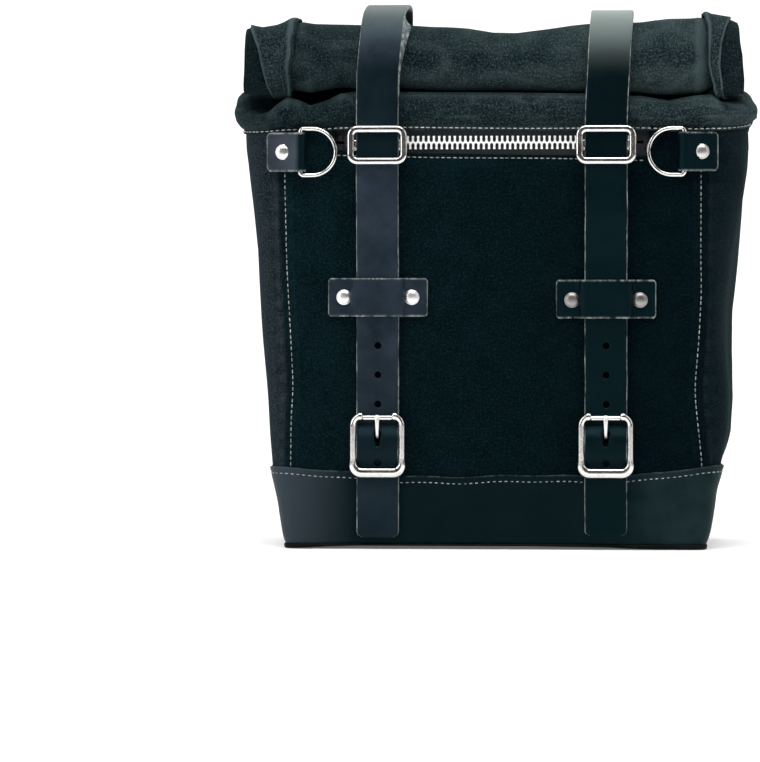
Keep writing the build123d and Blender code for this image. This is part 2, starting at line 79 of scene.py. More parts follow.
# ---- straps and hardware ------------------------------------------------------------------------------
STRAP_X, STRAP_WIDTH, STRAP_THICK = 72.6, 27.2, 3.0
HOLE_RADIUS, HOLE_PITCH = 2.2, 18.7
BUCKLE_Z, SLIDE_Z, KEEPER_Z, RING_Z, ZIP_Z = 66.3, 257.0, 160.3, 252.8, 258.9
KEEPER_HEIGHT, KEEPER_RIVET = 24.6, 21.6
KEEPER_DROP = {"left": 0.0, "right": 1.1}
KEEPER_RIVET_DROP = {"left": 0.0, "right": 1.7}
STRAP_LOW, STRAP_HIGH, STRAP_CREST = 2.6, 6.0, 7.2   # the strap's back face ahead of the canvas
STRAP_REAR = 2.5               # its inner face behind the back panel
STRAP_TOP = {"left": 346.5, "right": 342.6}
STRAP_TIP = {"left": 7.2, "right": 8.6}
STRAP_FLARE = {"left": 6.0, "right": 0.36}   # how far its underside spreads where it leans over
SLOT_RADIUS = 1.95             # of the opening that the prong passes through
BAR_AHEAD = 3.6                # the buckle's centre bar ahead of the canvas
ROD_AHEAD, ROD_RISE = 7.9, 17.4   # the roller's rod ahead of the canvas and above the centre bar
TAB_HEIGHT = 24.8
RING_BAR_X, RING_RIVET_X, TAB_END_X = 122.0, 133.0, 143.5
RIVET_RADIUS, RIVET_DOME = 4.9, 1.9
TOOTH_PITCH, TEETH, FIRST_TOOTH = 3.35, 52, -84.0
PARTED_FROM = 75.0             # teeth beyond this x leave room for the slider's web
STITCH_PITCH, STITCH_LENGTH, STITCH_RADIUS = 3.7, 2.7, 0.34

# ---- back ---------------------------------------------------------------------------------------------
PATCH_THICK, PATCH_CORNER, PATCH_GAP = 2.0, 8.0, 0.2
YOKE_Z, YOKE_HALF = 231.0, (127.0, 41.0)
PATCH_Z, PATCH_HALF = 83.5, (30.0, 33.0)
LOOP_Y, LOOP_LEATHER, LOOP_BORE, LOOP_WIDTH = 64.5, 2.4, 8.5, 30.0
LOOP_X = 112.0
UPPER_LOOP = (256.0, 206.0)    # heights of the tube and of the tail's end
LOWER_LOOP = (70.0, 115.0)
UPPER_LOOP_RIVETS, LOWER_LOOP_RIVETS, ANCHOR_RIVETS = (216.0, 234.0), (91.0, 106.0), (204.0, 220.0)


# ====================================================================================================
# Mesh helpers
# ====================================================================================================
def smooth_step(x, low, high):
    t = np.clip((np.asarray(x, float) - low) / (high - low), 0, 1)
    return t * t * (3 - 2 * t)


def bump_at(x, centre, width):
    return np.exp(-((np.asarray(x, float) - centre) / width) ** 2)


def noise_at(points, size, seed=0.0):
    """Smooth noise in about -1..1 at each point, with features about size across."""
    shape = points.shape[:-1]
    flat = points.reshape(-1, 3) / size + seed
    values = [noise.noise(Vector(p)) for p in flat.tolist()]
    return np.array(values).reshape(shape)


def folds_at(points, size, seed=0.0):
    """Noise with soft ridges, like creased cloth, in about -1..1."""
    return 1 - 2.6 * np.abs(noise_at(points, size, seed))


def grid_faces(rows, columns, wrap=False):
    """Quads of a grid of vertices. wrap joins its last column to its first."""
    last = columns if wrap else columns - 1
    faces = []
    for i in range(rows - 1):
        for j in range(last):
            k = (j + 1) % columns
            faces.append((i * columns + j, i * columns + k, (i + 1) * columns + k, (i + 1) * columns + j))
    return faces


def make_piece(name, verts, faces, material, body="bag", uvs=None, wear=None):
    """A mesh object from millimetre vertices. uvs are in millimetres along the cloth."""
    mesh = bpy.data.meshes.new(name)
    mesh.from_pydata((np.asarray(verts, float).reshape(-1, 3) * MM).tolist(), [], faces)
    mesh.validate()
    corner_vertex = np.zeros(len(mesh.loops), int)
    mesh.loops.foreach_get("vertex_index", corner_vertex)
    if uvs is not None:
        layer = mesh.uv_layers.new(name="cloth")
        flat = np.asarray(uvs, float).reshape(-1, 2)[corner_vertex] * 0.01
        layer.data.foreach_set("uv", flat.ravel())
    if wear is not None:
        attribute = mesh.attributes.new("wear", "FLOAT", "POINT")
        attribute.data.foreach_set("value", np.asarray(wear, float).ravel())
    mesh.polygons.foreach_set("use_smooth", [True] * len(mesh.polygons))
    piece = bpy.data.objects.new(name, mesh)
    bpy.context.scene.collection.objects.link(piece)
    piece.data.materials.append(material)
    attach(piece, body)
    return piece


def solid_piece(name, parts, material, body="bag", node=None):
    """One object from closed (vertices, faces) parts. It takes the place of the CAD node, if one is given."""
    verts, faces = join_parts(parts)
    piece = make_piece(name, verts, faces, material, body)
    fix_normals(piece)
    if node:
        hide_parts(node)
    return piece


def thicken(piece, thickness, offset=-1.0, round_edge=0.0, even=False):
    """Gives a sheet its thickness: offset -1 grows behind its face, 1 in front, 0 to both sides."""
    shell = piece.modifiers.new("thickness", "SOLIDIFY")
    shell.thickness = thickness * MM
    shell.offset = offset
    shell.use_even_offset = even
    if round_edge:
        bevel = piece.modifiers.new("edges", "BEVEL")
        bevel.width = round_edge * MM
        bevel.segments = 3
        bevel.limit_method = "ANGLE"
        bevel.angle_limit = math.radians(50)


def lengths_along(path):
    """Distance from the start of a path to each of its points."""
    return np.concatenate([[0], np.cumsum(np.linalg.norm(np.diff(path, axis=0), axis=1))])


def rim_of(shape):
    """Wear of 1 along the border of a grid and 0 inside."""
    rim = np.zeros(shape)
    rim[0] = rim[-1] = 1
    rim[:, 0] = rim[:, -1] = 1
    return rim


def grid_normals(points):
    across = np.gradient(points, axis=1)
    along = np.gradient(points, axis=0)
    normal = np.cross(across, along)
    return normal / np.maximum(np.linalg.norm(normal, axis=-1, keepdims=True), 1e-9)


def grid_wear(points):
    """How much each point of a grid stands out from its neighbours: cloth rubs pale there."""
    reach, gain = 2, 1.6
    padded = np.pad(points, ((reach, reach), (reach, reach), (0, 0)), mode="edge")
    rows, columns = points.shape[:2]
    mean = np.zeros_like(points)
    for di, dj in ((0, reach), (2 * reach, reach), (reach, 0), (reach, 2 * reach)):
        mean += padded[di:di + rows, dj:dj + columns] / 4
    out = ((points - mean) * grid_normals(points)).sum(-1)
    out[:reach] = out[-reach:] = 0
    out[:, :reach] = out[:, -reach:] = 0
    return np.clip(np.abs(out) * gain, 0, 1)


def grid_lengths(points):
    """Distances along each row and each column of a grid, as cloth coordinates."""
    along = np.linalg.norm(np.diff(points, axis=1), axis=-1)
    up = np.linalg.norm(np.diff(points, axis=0), axis=-1)
    u = np.concatenate([np.zeros((points.shape[0], 1)), np.cumsum(along, axis=1)], axis=1)
    v = np.concatenate([np.zeros((1, points.shape[1])), np.cumsum(up, axis=0)], axis=0)
    return np.stack([u - u[:, -1:] / 2, v], axis=-1)


def cloth_piece(name, points, material, nodes=(), thickness=CANVAS, uvs=None, keep=None, flip=False, rim=0.0):
    """A grid of points made into cloth with thickness. keep(i, j) says which cells to keep, rim adds wear."""
    rows, columns = points.shape[:2]
    faces = grid_faces(rows, columns)
    if keep is not None:
        faces = [f for f, kept in zip(faces, keep.ravel()) if kept]
    if flip:
        faces = [tuple(reversed(f)) for f in faces]
    if uvs is None:
        uvs = grid_lengths(points)
    piece = make_piece(name, points, faces, material, "bag", uvs, np.clip(grid_wear(points) + rim, 0, 1))
    thicken(piece, thickness)
    if nodes:
        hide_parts(*nodes)
    return piece


def rounded_path(points, radii, step=2.0):
    """Points along a 2-D polyline with rounded corners, closely spaced."""
    points = [np.array(p, float) for p in points]
    path = [points[0]]
    for before, corner, after, radius in zip(points, points[1:], points[2:], radii):
        a, b = before - corner, after - corner
        a, b = a / np.linalg.norm(a), b / np.linalg.norm(b)
        half = math.acos(np.clip(a @ b, -1, 1)) / 2
        if half > math.pi / 2 - 1e-3:
            continue
        cut = radius / math.tan(half)
        centre = corner + (a + b) / np.linalg.norm(a + b) * (radius / math.sin(half))
        start, end = corner + a * cut, corner + b * cut
        turn = math.pi - 2 * half
        count = max(3, int(radius * turn / step))
        s, e = start - centre, end - centre
        for k in range(count + 1):
            f = k / count
            mix = (math.sin((1 - f) * turn) * s + math.sin(f * turn) * e) / math.sin(turn)
            path.append(centre + mix)
    path.append(points[-1])
    dense = [path[0]]
    for p in path[1:]:
        gap = np.linalg.norm(p - dense[-1])
        for k in range(1, max(1, int(gap / step)) + 1):
            dense.append(dense[-1] + (p - dense[-1]) / (max(1, int(gap / step)) - k + 1))
    return np.array(dense)


def strip(name, place, width, thickness, material, node, corner, wander=0.25, seed=0.0, flare=None):
    """A strap along a path. place is (points, side, up): the middle line, the direction across the strap and
    the direction of its face, each an array. The section is a flat rounded bar with burnished edges. flare is
    how far the right edge's underside spreads out at each point, as it does where the strap leans over."""
    centre, side, up = place
    distance = lengths_along(centre)
    half, rise, edge = width / 2, thickness / 2, 0.9
    across = np.linspace(-half + edge, half - edge, 15)
    arc = np.linspace(math.pi / 2, -math.pi / 2, 7)[1:-1]
    top = [(x, rise) for x in across]
    right = [(half - edge + edge * math.cos(a), rise * math.sin(a)) for a in arc]
    low = [(x, -rise) for x in across[::-1]]
    left = [(-half + edge - edge * math.cos(a), rise * math.sin(a)) for a in arc[::-1]]
    section = np.array(top + right + low + left)
    is_edge = np.array([0] * len(top) + [1] * len(right) + [0] * len(low) + [1] * len(left), float)
    ends = np.minimum(distance, distance[-1] - distance)
    inside = np.clip(corner - ends, 0, corner)
    squeeze = 1 - (corner - np.sqrt(corner ** 2 - inside ** 2)) / half
    if flare is None:
        flare = np.zeros(len(distance))
    spread = np.where(section[:, 0] > half - edge - 0.1, (rise - section[:, 1]) / thickness, 0.0)
    rings = []
    for i, (p, s, u) in enumerate(zip(centre, side, up)):
        wobble = wander * noise.noise(Vector((distance[i] / 22, seed, 0)))
        sideways = section[:, 0] * squeeze[i] + wobble * 0.5 + spread * flare[i]
        rings.append(p + np.outer(sideways, s) + np.outer(section[:, 1], u))
    points = np.array(rings)
    count = len(section)
    faces = grid_faces(len(points), count, wrap=True)
    faces.append(tuple(range(count - 1, -1, -1)))
    faces.append(tuple((len(points) - 1) * count + k for k in range(count)))
    uvs = np.stack(np.broadcast_arrays(lengths_along(section)[None, :], distance[:, None]), axis=-1)
    wear = np.broadcast_to(is_edge[None, :], (len(points), count))
    piece = make_piece(name, points, faces, material, "bag", uvs, wear)
    fix_normals(piece)
    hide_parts(node)
    return piece


def back_plate(name, middle_z, half_size, node):
    """A leather patch with rounded corners, flat on the back of the bag."""
    (half_w, half_h), corner, step = half_size, PATCH_CORNER, 2.5
    inner = np.linspace(-half_h + corner, half_h - corner, max(4, int(2 * (half_h - corner) / step)))
    curve = half_h - corner + corner * np.sin(np.linspace(0, math.pi / 2, 6))[1:]
    rows = np.concatenate([-curve[::-1], inner, curve])
    over = np.clip(np.abs(rows) - (half_h - corner), 0, corner)
    reach = half_w - (corner - np.sqrt(np.maximum(corner ** 2 - over ** 2, 0)))
    share = np.linspace(-1, 1, max(6, int(2 * half_w / step)))
    a = reach[:, None] * share[None, :]
    b = np.broadcast_to(rows[:, None], a.shape)
    points = np.stack([-a, np.full_like(a, BACK_Y + PATCH_GAP), middle_z + b], -1)
    faces = grid_faces(*a.shape)
    piece = make_piece(name, points, faces, leather_right_shaded, "bag", np.stack([a, b], -1), rim_of(a.shape))
    thicken(piece, PATCH_THICK, 1.0, 0.5, True)
    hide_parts(node)


def lathe(profile, centre, axis, segments=28):
    """Vertices and faces of a profile [(radius, height)] turned about axis at centre."""
    axis = np.array(axis, float)
    helper = np.array([0, 0, 1.0]) if abs(axis[2]) < 0.9 else np.array([1.0, 0, 0])
    e1 = np.cross(axis, helper)
    e1 /= np.linalg.norm(e1)
    e2 = np.cross(axis, e1)
    verts, faces = [], []
    for radius, height in profile:
        for k in range(segments):
            a = 2 * math.pi * k / segments
            verts.append(np.array(centre) + axis * height + radius * (math.cos(a) * e1 + math.sin(a) * e2))
    for i in range(len(profile) - 1):
        for k in range(segments):
            n = (k + 1) % segments
            faces.append((i * segments + k, (i + 1) * segments + k, (i + 1) * segments + n, i * segments + n))
    faces.append(tuple(range(segments)))
    faces.append(tuple((len(profile) - 1) * segments + k for k in reversed(range(segments))))
    return verts, faces


def join_parts(parts):
    """One list of vertices and one of faces from several (vertices, faces)."""
    verts, faces = [], []
    for part_verts, part_faces in parts:
        start = len(verts)
        verts.extend(part_verts)
        faces.extend(tuple(start + v for v in f) for f in part_faces)
    return verts, faces


def sweep_bar(path, half_across, half_deep, deep_axis, closed, sides=14, power=2.3):
    """A bar of rounded section along a 3-D path. half_across lies in the plane of the path."""
    path = np.array(path, float)
    if closed:
        tangent = np.roll(path, -1, 0) - np.roll(path, 1, 0)
    else:
        tangent = np.gradient(path, axis=0)
    tangent /= np.linalg.norm(tangent, axis=1, keepdims=True)
    deep = np.array(deep_axis, float)
    across = np.cross(tangent, deep)
    across /= np.linalg.norm(across, axis=1, keepdims=True)
    half_across = np.broadcast_to(half_across, (len(path),))
    half_deep = np.broadcast_to(half_deep, (len(path),))
    verts = []
    for p, c, w, d in zip(path, across, half_across, half_deep):
        for k in range(sides):
            a = 2 * math.pi * k / sides
            x, y = math.cos(a), math.sin(a)
            x = math.copysign(abs(x) ** (2 / power), x)
            y = math.copysign(abs(y) ** (2 / power), y)
            verts.append(p + c * w * x + deep * d * y)
    faces = []
    for i in range(len(path) if closed else len(path) - 1):
        n = (i + 1) % len(path)
        for k in range(sides):
            m = (k + 1) % sides
            faces.append((i * sides + k, i * sides + m, n * sides + m, n * sides + k))
    if not closed:
        faces.append(tuple(reversed(range(sides))))
        faces.append(tuple((len(path) - 1) * sides + k for k in range(sides)))
    return verts, faces


def fix_normals(piece):
    mesh = bmesh.new()
    mesh.from_mesh(piece.data)
    bmesh.ops.recalc_face_normals(mesh, faces=mesh.faces)
    mesh.to_mesh(piece.data)
    mesh.free()


# ====================================================================================================
# Materials
# ====================================================================================================
class Graph:
    """A material under construction: node(kind, input=value or socket, ...) adds a node."""

    def __init__(self, name):
        self.material = bpy.data.materials.new(name)
        self.material.use_nodes = True
        self.tree = self.material.node_tree
        self.shader = self.tree.nodes["Principled BSDF"]

    def node(self, kind, settings=None, **inputs):
        made = self.tree.nodes.new("ShaderNode" + kind)
        for key, value in (settings or {}).items():
            setattr(made, key, value)
        for key, value in inputs.items():
            self.plug(made, key.replace("_", " "), value)
        return made

    def plug(self, node, key, value):
        socket = node.inputs[int(key[1:])] if key[0] == "i" and key[1:].isdigit() else node.inputs[key]
        if isinstance(value, bpy.types.NodeSocket):
            self.tree.links.new(value, socket)
        else:
            socket.default_value = value

    def maths(self, operation, a, b=0.0, c=0.0):
        return self.node("Math", {"operation": operation}, i0=a, i1=b, i2=c).outputs[0]

    def mix(self, factor, a, b):
        made = self.node("Mix", {"data_type": "RGBA"})
        self.plug(made, "i0", factor)
        self.plug(made, "i6", a)
        self.plug(made, "i7", b)
        return made.outputs[2]

    def ramp(self, value, low, high, from_value=0.0, to_value=1.0):
        made = self.node("MapRange", {"clamp": True}, Value=value)
        limits = {"From Min": low, "From Max": high, "To Min": from_value, "To Max": to_value}
        for key, number in limits.items():
            made.inputs[key].default_value = number
        return made.outputs[0]

    def noise(self, vector, scale, detail=3.0, roughness=0.55):
        made = self.node("TexNoise", None, Vector=vector, Scale=scale, Detail=detail, Roughness=roughness)
        return made.outputs["Fac"]

    def stretched(self, vector, x, y, z=1.0):
        return self.node("Mapping", {"vector_type": "POINT"}, Vector=vector, Scale=(x, y, z)).outputs[0]

    def bump(self, height, strength, distance, below=None):
        made = self.node("Bump", None, Height=height, Strength=strength, Distance=distance)
        if below is not None:
            self.plug(made, "Normal", below)
        return made.outputs[0]

    def finish(self, **sockets):
        for key, value in sockets.items():
            self.plug(self.shader, key.replace("_", " "), value)
        return self.material


def rgb(r, g, b):
    return (r, g, b, 1.0)


# painted light across the bag: one side painted brighter or darker than the other; the even default paints
# none
EVEN_LIGHT = (-0.13, 0.1, 1.0, 1.0)   # (x where it starts, x where it ends, amount there and there)
PALE_EDGE = rgb(0.30, 0.33, 0.32)
# painted light: the left-hand leather's tones, painted paler than the right-hand leather's, as lit from the
# left
LIT_LEATHER = rgb(0.0004, 0.0028, 0.0040)
LIT_LEATHER_PALE = rgb(0.022, 0.028, 0.042)
WORN_CANVAS = rgb(0.0004, 0.0030, 0.0042)


def cloth_coordinates(graph):
    """Cloth coordinates with a slow wander, so that the threads don't run dead straight."""
    uv = graph.node("UVMap", {"uv_map": "cloth"}).outputs[0]
    wander = graph.node("TexNoise", None, Vector=uv, Scale=9.0, Detail=2.0).outputs["Color"]
    centred = graph.node("VectorMath", {"operation": "SUBTRACT"}, i0=wander, i1=(0.5, 0.5, 0.5)).outputs[0]
    scaled = graph.node("VectorMath", {"operation": "SCALE"}, i0=centred, Scale=0.012).outputs[0]
    return graph.node("VectorMath", {"operation": "ADD"}, i0=uv, i1=scaled).outputs[0]


def along_axis(graph, axis, low, high, from_value, to_value):
    """A slow change between two places, in metres, on one axis of the bag."""
    place = graph.node("TexCoord").outputs["Object"]
    split = graph.node("SeparateXYZ", None, Vector=place)
    return graph.ramp(split.outputs[axis], low, high, from_value, to_value)


def light_across_bag(graph, light_across):
    """Painted light: brightness painted to change from one side of the bag to the other, set out like the
    even default above.
    """
    return along_axis(graph, 0, *light_across)


def canvas_material(name, dark, pale, thread=0.95, fade=0.5, light_across=EVEN_LIGHT):
    """Plain-weave cotton: thread bumps, slubs along warp and weft, and rubbed high spots. thread is the pitch
    of the weave, and fade is how pale the rubbed spots turn."""
    graph = Graph(name)
    uv = cloth_coordinates(graph)
    split = graph.node("SeparateXYZ", None, Vector=uv)
    turns = 2 * math.pi * 100 / thread
    warp = graph.maths("SINE", graph.maths("MULTIPLY", split.outputs[0], turns))
    weft = graph.maths("SINE", graph.maths("MULTIPLY", split.outputs[1], turns))
    weave = graph.maths("MULTIPLY", warp, weft)
    warp_slub = graph.noise(graph.stretched(uv, 130, 9), 1.0, 4.0, 0.7)
    weft_slub = graph.noise(graph.stretched(uv, 10, 110), 1.0, 3.0, 0.65)
    cloud = graph.noise(uv, 5.0, 4.0, 0.6)
    fuzz = graph.noise(uv, 75.0, 3.0, 0.75)
    slubs = graph.maths("MULTIPLY_ADD", warp_slub, 0.62, graph.maths("MULTIPLY", weft_slub, 0.38))
    rubbed = graph.node("Attribute", {"attribute_name": "wear"}).outputs["Fac"]
    tone = graph.ramp(slubs, 0.36, 0.72)
    tone = graph.maths("MULTIPLY", tone, graph.ramp(cloud, 0.3, 0.72, 0.2, 1.0))
    tone = graph.maths("MULTIPLY_ADD", graph.ramp(weave, -1, 1), 0.16, tone)
    tone = graph.maths("MULTIPLY_ADD", graph.ramp(rubbed, 0.12, 0.8), fade, tone)
    tone = graph.maths("MULTIPLY_ADD", graph.ramp(fuzz, 0.50, 0.66), 1.2, tone)
    # painted light: the tone brightens or darkens from one side of the bag to the other
    tone = graph.maths("MULTIPLY", tone, light_across_bag(graph, light_across))
    colour = graph.mix(graph.ramp(tone, 0.1, 1.6), dark, pale)
    height = graph.maths("MULTIPLY_ADD", slubs, 1.6, graph.maths("MULTIPLY", weave, 0.5))
    normal = graph.bump(height, 0.6, 0.0004)
    normal = graph.bump(cloud, 0.4, 0.003, normal)
    return graph.finish(Base_Color=colour, Roughness=0.9, Sheen_Weight=0.03, Sheen_Roughness=0.5,
                        Sheen_Tint=rgb(0.5, 0.85, 0.9), Specular_IOR_Level=0.05,
                        Specular_Tint=rgb(0.2, 0.85, 1.0), Normal=normal)


def leather_material(name, dark, pale, edge=PALE_EDGE, gloss=0.42, grain=1.0, light_across=EVEN_LIGHT,
                     left_painted_sheen=None, dust_and_sheen=(0.0, 1.0), painted_shade=()):
    """Smooth waxed leather: fine pebbled grain, soft mottling, burnished pale edges. On top of that it paints
    light: brighter or darker from one side of the bag to the other, a painted sheen on the far left end, a
    painted highlight on the top of the straps (how much, and the power by which it fades downward), and
    painted shade at heights listed as (height, half span, amount, softness)."""
    graph = Graph(name)
    place = graph.node("TexCoord").outputs["Object"]
    cells = graph.node("TexVoronoi", {"feature": "DISTANCE_TO_EDGE"}, Vector=place, Scale=950.0).outputs[0]
    mottle = graph.noise(place, 45.0, 5.0, 0.6)
    pores = graph.noise(place, 1900.0, 2.0, 0.6)
    scuff = graph.noise(graph.stretched(place, 1.0, 1.0, 0.22), 210.0, 4.0, 0.75)
    rim = graph.node("Attribute", {"attribute_name": "wear"}).outputs["Fac"]
    ragged = graph.maths("MULTIPLY", graph.ramp(rim, 0.35, 0.95), graph.ramp(scuff, 0.38, 0.62))
    # mottled tone, times painted light from one side of the bag to the other
    mottle_and_light = graph.maths("MULTIPLY", graph.ramp(mottle, 0.3, 0.75, 0.25, 1.0), light_across_bag(graph, light_across))
    colour = graph.mix(mottle_and_light, dark, pale)
    # painted sheen: the far left end is painted paler, as lit
    if left_painted_sheen:
        colour = graph.mix(along_axis(graph, 0, -0.135, -0.088, 0.85, 0.0), colour, left_painted_sheen)
    colour = graph.mix(graph.ramp(scuff, 0.68, 0.85, 0.0, 0.10), colour, edge)
    # painted highlight: the top of each strap, where it climbs over the roll, is painted paler
    amount, power = dust_and_sheen
    top_sheen = graph.maths("POWER", along_axis(graph, 2, 0.298, 0.344, 0.0, 1.0), power)
    colour = graph.mix(graph.maths("MULTIPLY", top_sheen, amount), colour, rgb(0.25, 0.29, 0.27))
    # painted shade: darker at the listed heights
    for height, half_span, amount, soft in painted_shade:
        offset = along_axis(graph, 2, height * MM - 0.2, height * MM + 0.2, -0.2, 0.2)
        away = graph.maths("ABSOLUTE", offset)
        shade_amount = graph.ramp(away, half_span * MM, (half_span + soft) * MM, amount, 0.0)
        colour = graph.mix(shade_amount, colour, dark)
    gaps = graph.ramp(graph.noise(place, 260.0, 2.0), 0.40, 0.56, 0.35, 1.0)
    broken = graph.maths("MULTIPLY", ragged, gaps)
    colour = graph.mix(broken, colour, edge)
    rough = graph.maths("MULTIPLY_ADD", mottle, 0.22, gloss - 0.09)
    rough = graph.maths("MULTIPLY_ADD", ragged, 0.3, rough)
    height = graph.maths("MULTIPLY_ADD", pores, 0.7, graph.ramp(cells, 0.0, 0.25))
    normal = graph.bump(height, 0.16 * grain, 0.0004)
    normal = graph.bump(mottle, 0.12, 0.002, normal)
    return graph.finish(Base_Color=colour, Roughness=rough, Specular_IOR_Level=0.13,
                        Specular_Tint=rgb(0.3, 0.85, 1.0), Normal=normal)


def metal_material(name, colour, low=0.12, high=0.3, scratch=0.05, metallic=1.0, painted_shade_heights=None):
    """Polished to satin metal. With a pair of heights it paints shade: black below the first, clean above the
    second.
    """
    graph = Graph(name)
    place = graph.node("TexCoord").outputs["Object"]
    cloud = graph.noise(place, 120.0, 4.0, 0.6)
    fine = graph.noise(graph.stretched(place, 1.0, 1.0, 0.12), 2600.0, 2.0, 0.6)
    tarnish = graph.noise(place, 260.0, 3.0, 0.6)
    dull = rgb(*(0.62 * c for c in colour[:3]))
    tint = graph.mix(graph.ramp(tarnish, 0.5, 0.8, 0.0, 0.6), colour, dull)
    # painted shade: black below the first height, clean metal from the second
    if painted_shade_heights:
        tint = graph.mix(along_axis(graph, 2, painted_shade_heights[0] * MM, painted_shade_heights[1] * MM, 0.0, 1.0), rgb(0, 0, 0), tint)
    rough = graph.ramp(cloud, 0.3, 0.75, low, high)
    normal = graph.bump(graph.maths("MULTIPLY_ADD", cloud, 1.5, fine), scratch, 0.0004)
    return graph.finish(Base_Color=tint, Metallic=metallic, Roughness=rough, Normal=normal)


def thread_material(name, colour, shade):
    graph = Graph(name)
    place = graph.node("TexCoord").outputs["Object"]
    ply = graph.noise(place, 3200.0, 2.0, 0.6)
    spots = graph.noise(place, 300.0, 2.0, 0.6)
    tint = graph.mix(graph.ramp(spots, 0.35, 0.65), colour, shade)
    return graph.finish(Base_Color=tint, Roughness=0.7, Sheen_Weight=0.2,
                        Normal=graph.bump(ply, 0.4, 0.0003))


def tape_material(name):
    graph = Graph(name)
    uv = graph.node("UVMap", {"uv_map": "cloth"}).outputs[0]
    split = graph.node("SeparateXYZ", None, Vector=uv)
    slant = graph.maths("ADD", split.outputs[0], graph.maths("PINGPONG", split.outputs[1], 0.02))
    twill = graph.maths("SINE", graph.maths("MULTIPLY", slant, 2 * math.pi * 110))
    fuzz = graph.noise(uv, 300.0, 2.0, 0.6)
    tone = graph.maths("MULTIPLY_ADD", twill, 0.25, fuzz)
    colour = graph.mix(graph.ramp(tone, 0.2, 0.9), rgb(0.001, 0.002, 0.003), rgb(0.012, 0.014, 0.016))
    return graph.finish(Base_Color=colour, Roughness=0.85, Normal=graph.bump(tone, 0.5, 0.0003))


def rubber_material(name):
    graph = Graph(name)
    place = graph.node("TexCoord").outputs["Object"]
    speck = graph.noise(place, 900.0, 3.0, 0.65)
    dust_and_sheen = graph.noise(place, 40.0, 4.0, 0.6)
    colour = graph.mix(graph.ramp(dust_and_sheen, 0.45, 0.8), rgb(0.0005, 0.001, 0.0015), rgb(0.004, 0.006, 0.006))
    rough = graph.ramp(speck, 0.3, 0.7, 0.6, 0.9)
    return graph.finish(Base_Color=colour, Roughness=rough, Specular_IOR_Level=0.1,
                        Normal=graph.bump(speck, 0.5, 0.0005))


def floor_material():
    graph = Graph("pale_floor")
    place = graph.node("TexCoord").outputs["Object"]
    grain = graph.noise(place, 60.0, 2.0)
    colour = graph.mix(graph.ramp(grain, 0.3, 0.7), rgb(0.93, 0.93, 0.93), rgb(0.95, 0.95, 0.95))
    return graph.finish(Base_Color=colour, Roughness=0.75, Specular_IOR_Level=0.1,
                        Emission_Color=rgb(1, 1, 1), Emission_Strength=0.12)


# the side amounts given to each canvas below are painted light: one end of the bag painted brighter or darker
# than the other
canvas_black = canvas_material("canvas_black", rgb(0.0, 0.0010, 0.0020), rgb(0.0045, 0.0150, 0.0185),
                               light_across=(-0.13, 0.1, 1.35, 0.6))
canvas_side = canvas_material("canvas_side", rgb(0.0006, 0.0036, 0.0052), rgb(0.024, 0.031, 0.037),
                              light_across=(-0.13, 0.13, 1.45, 0.45))
canvas_worn = canvas_material("canvas_worn", WORN_CANVAS, rgb(0.044, 0.064, 0.066),
                              fade=0.9, light_across=(-0.14, 0.12, 0.6, 1.15))
canvas_band = canvas_material("canvas_band", WORN_CANVAS, rgb(0.050, 0.072, 0.076),
                              fade=1.1, light_across=(-0.14, 0.12, 0.9, 1.1))
# painted shade: the roll's end layers, a darker copy of the roll's canvas for the shade they lie in
canvas_flank_shaded = canvas_material("canvas_flank_shaded", rgb(0.0001, 0.0018, 0.0030), rgb(0.022, 0.033, 0.036),
                               light_across=(-0.14, 0.12, 0.7, 1.2))
lining_grey = canvas_material("lining_grey", rgb(0.01, 0.01, 0.01), rgb(0.04, 0.04, 0.04), 0.6)
# painted light: lit and shaded copies of one black leather, paler on the left and darker on the right; the
# straps below follow the same split
leather_left_lit = leather_material("leather_left_lit", LIT_LEATHER, LIT_LEATHER_PALE)
leather_right_shaded = leather_material("leather_right_shaded", rgb(0.0, 0.0012, 0.0020), rgb(0.0005, 0.0040, 0.0052))
# the boot's painted light: painted dark except towards its right-hand end, and a painted sheen on its far
# left end
leather_boot = leather_material("leather_boot", rgb(0.0, 0.0009, 0.0018), rgb(0.011, 0.021, 0.022),
                                rgb(0.05, 0.058, 0.058), 0.5, 1.3, light_across=(0.05, 0.12, 0.1, 1.0),
                                left_painted_sheen=rgb(0.034, 0.042, 0.052))
# the straps' painted highlight on their tops, and painted shade at the listed heights: inside the slides,
# under the buckles, in the crease below the roll and, on the left strap, towards its foot
strap_left_lit = leather_material("strap_left_lit", LIT_LEATHER, LIT_LEATHER_PALE, dust_and_sheen=(0.40, 4.2),
                              painted_shade=[(SLIDE_Z, 9, 0.9, 1.5), (BUCKLE_Z, 14, 0.65, 2), (288, 14, 0.75, 16),
                                       (20, 55, 0.5, 55)])
strap_right_shaded = leather_material("strap_right_shaded", rgb(0.0, 0.0010, 0.0018), rgb(0.0005, 0.0038, 0.0050),
                               dust_and_sheen=(0.92, 2.0),
                               painted_shade=[(SLIDE_Z, 9, 0.7, 1.5), (BUCKLE_Z, 14, 0.4, 2), (282, 10, 0.8, 16)])
# painted light on the left tab: painted paler than the left leather up to the fold round the ring's bar, and
# painted dark past it, as shaded
tab_left_lit_fold = leather_material("tab_left_lit_fold", LIT_LEATHER, rgb(0.045, 0.050, 0.066),
                            light_across=(-0.1255, -0.1225, 1.2, 0.0))
LEATHER = {"left": leather_left_lit, "right": leather_right_shaded}
TAB_LEATHER = {"left": tab_left_lit_fold, "right": leather_right_shaded}
STRAP_LEATHER = {"left": strap_left_lit, "right": strap_right_shaded}
nickel = metal_material("nickel", rgb(0.70, 0.69, 0.67), 0.10, 0.26)
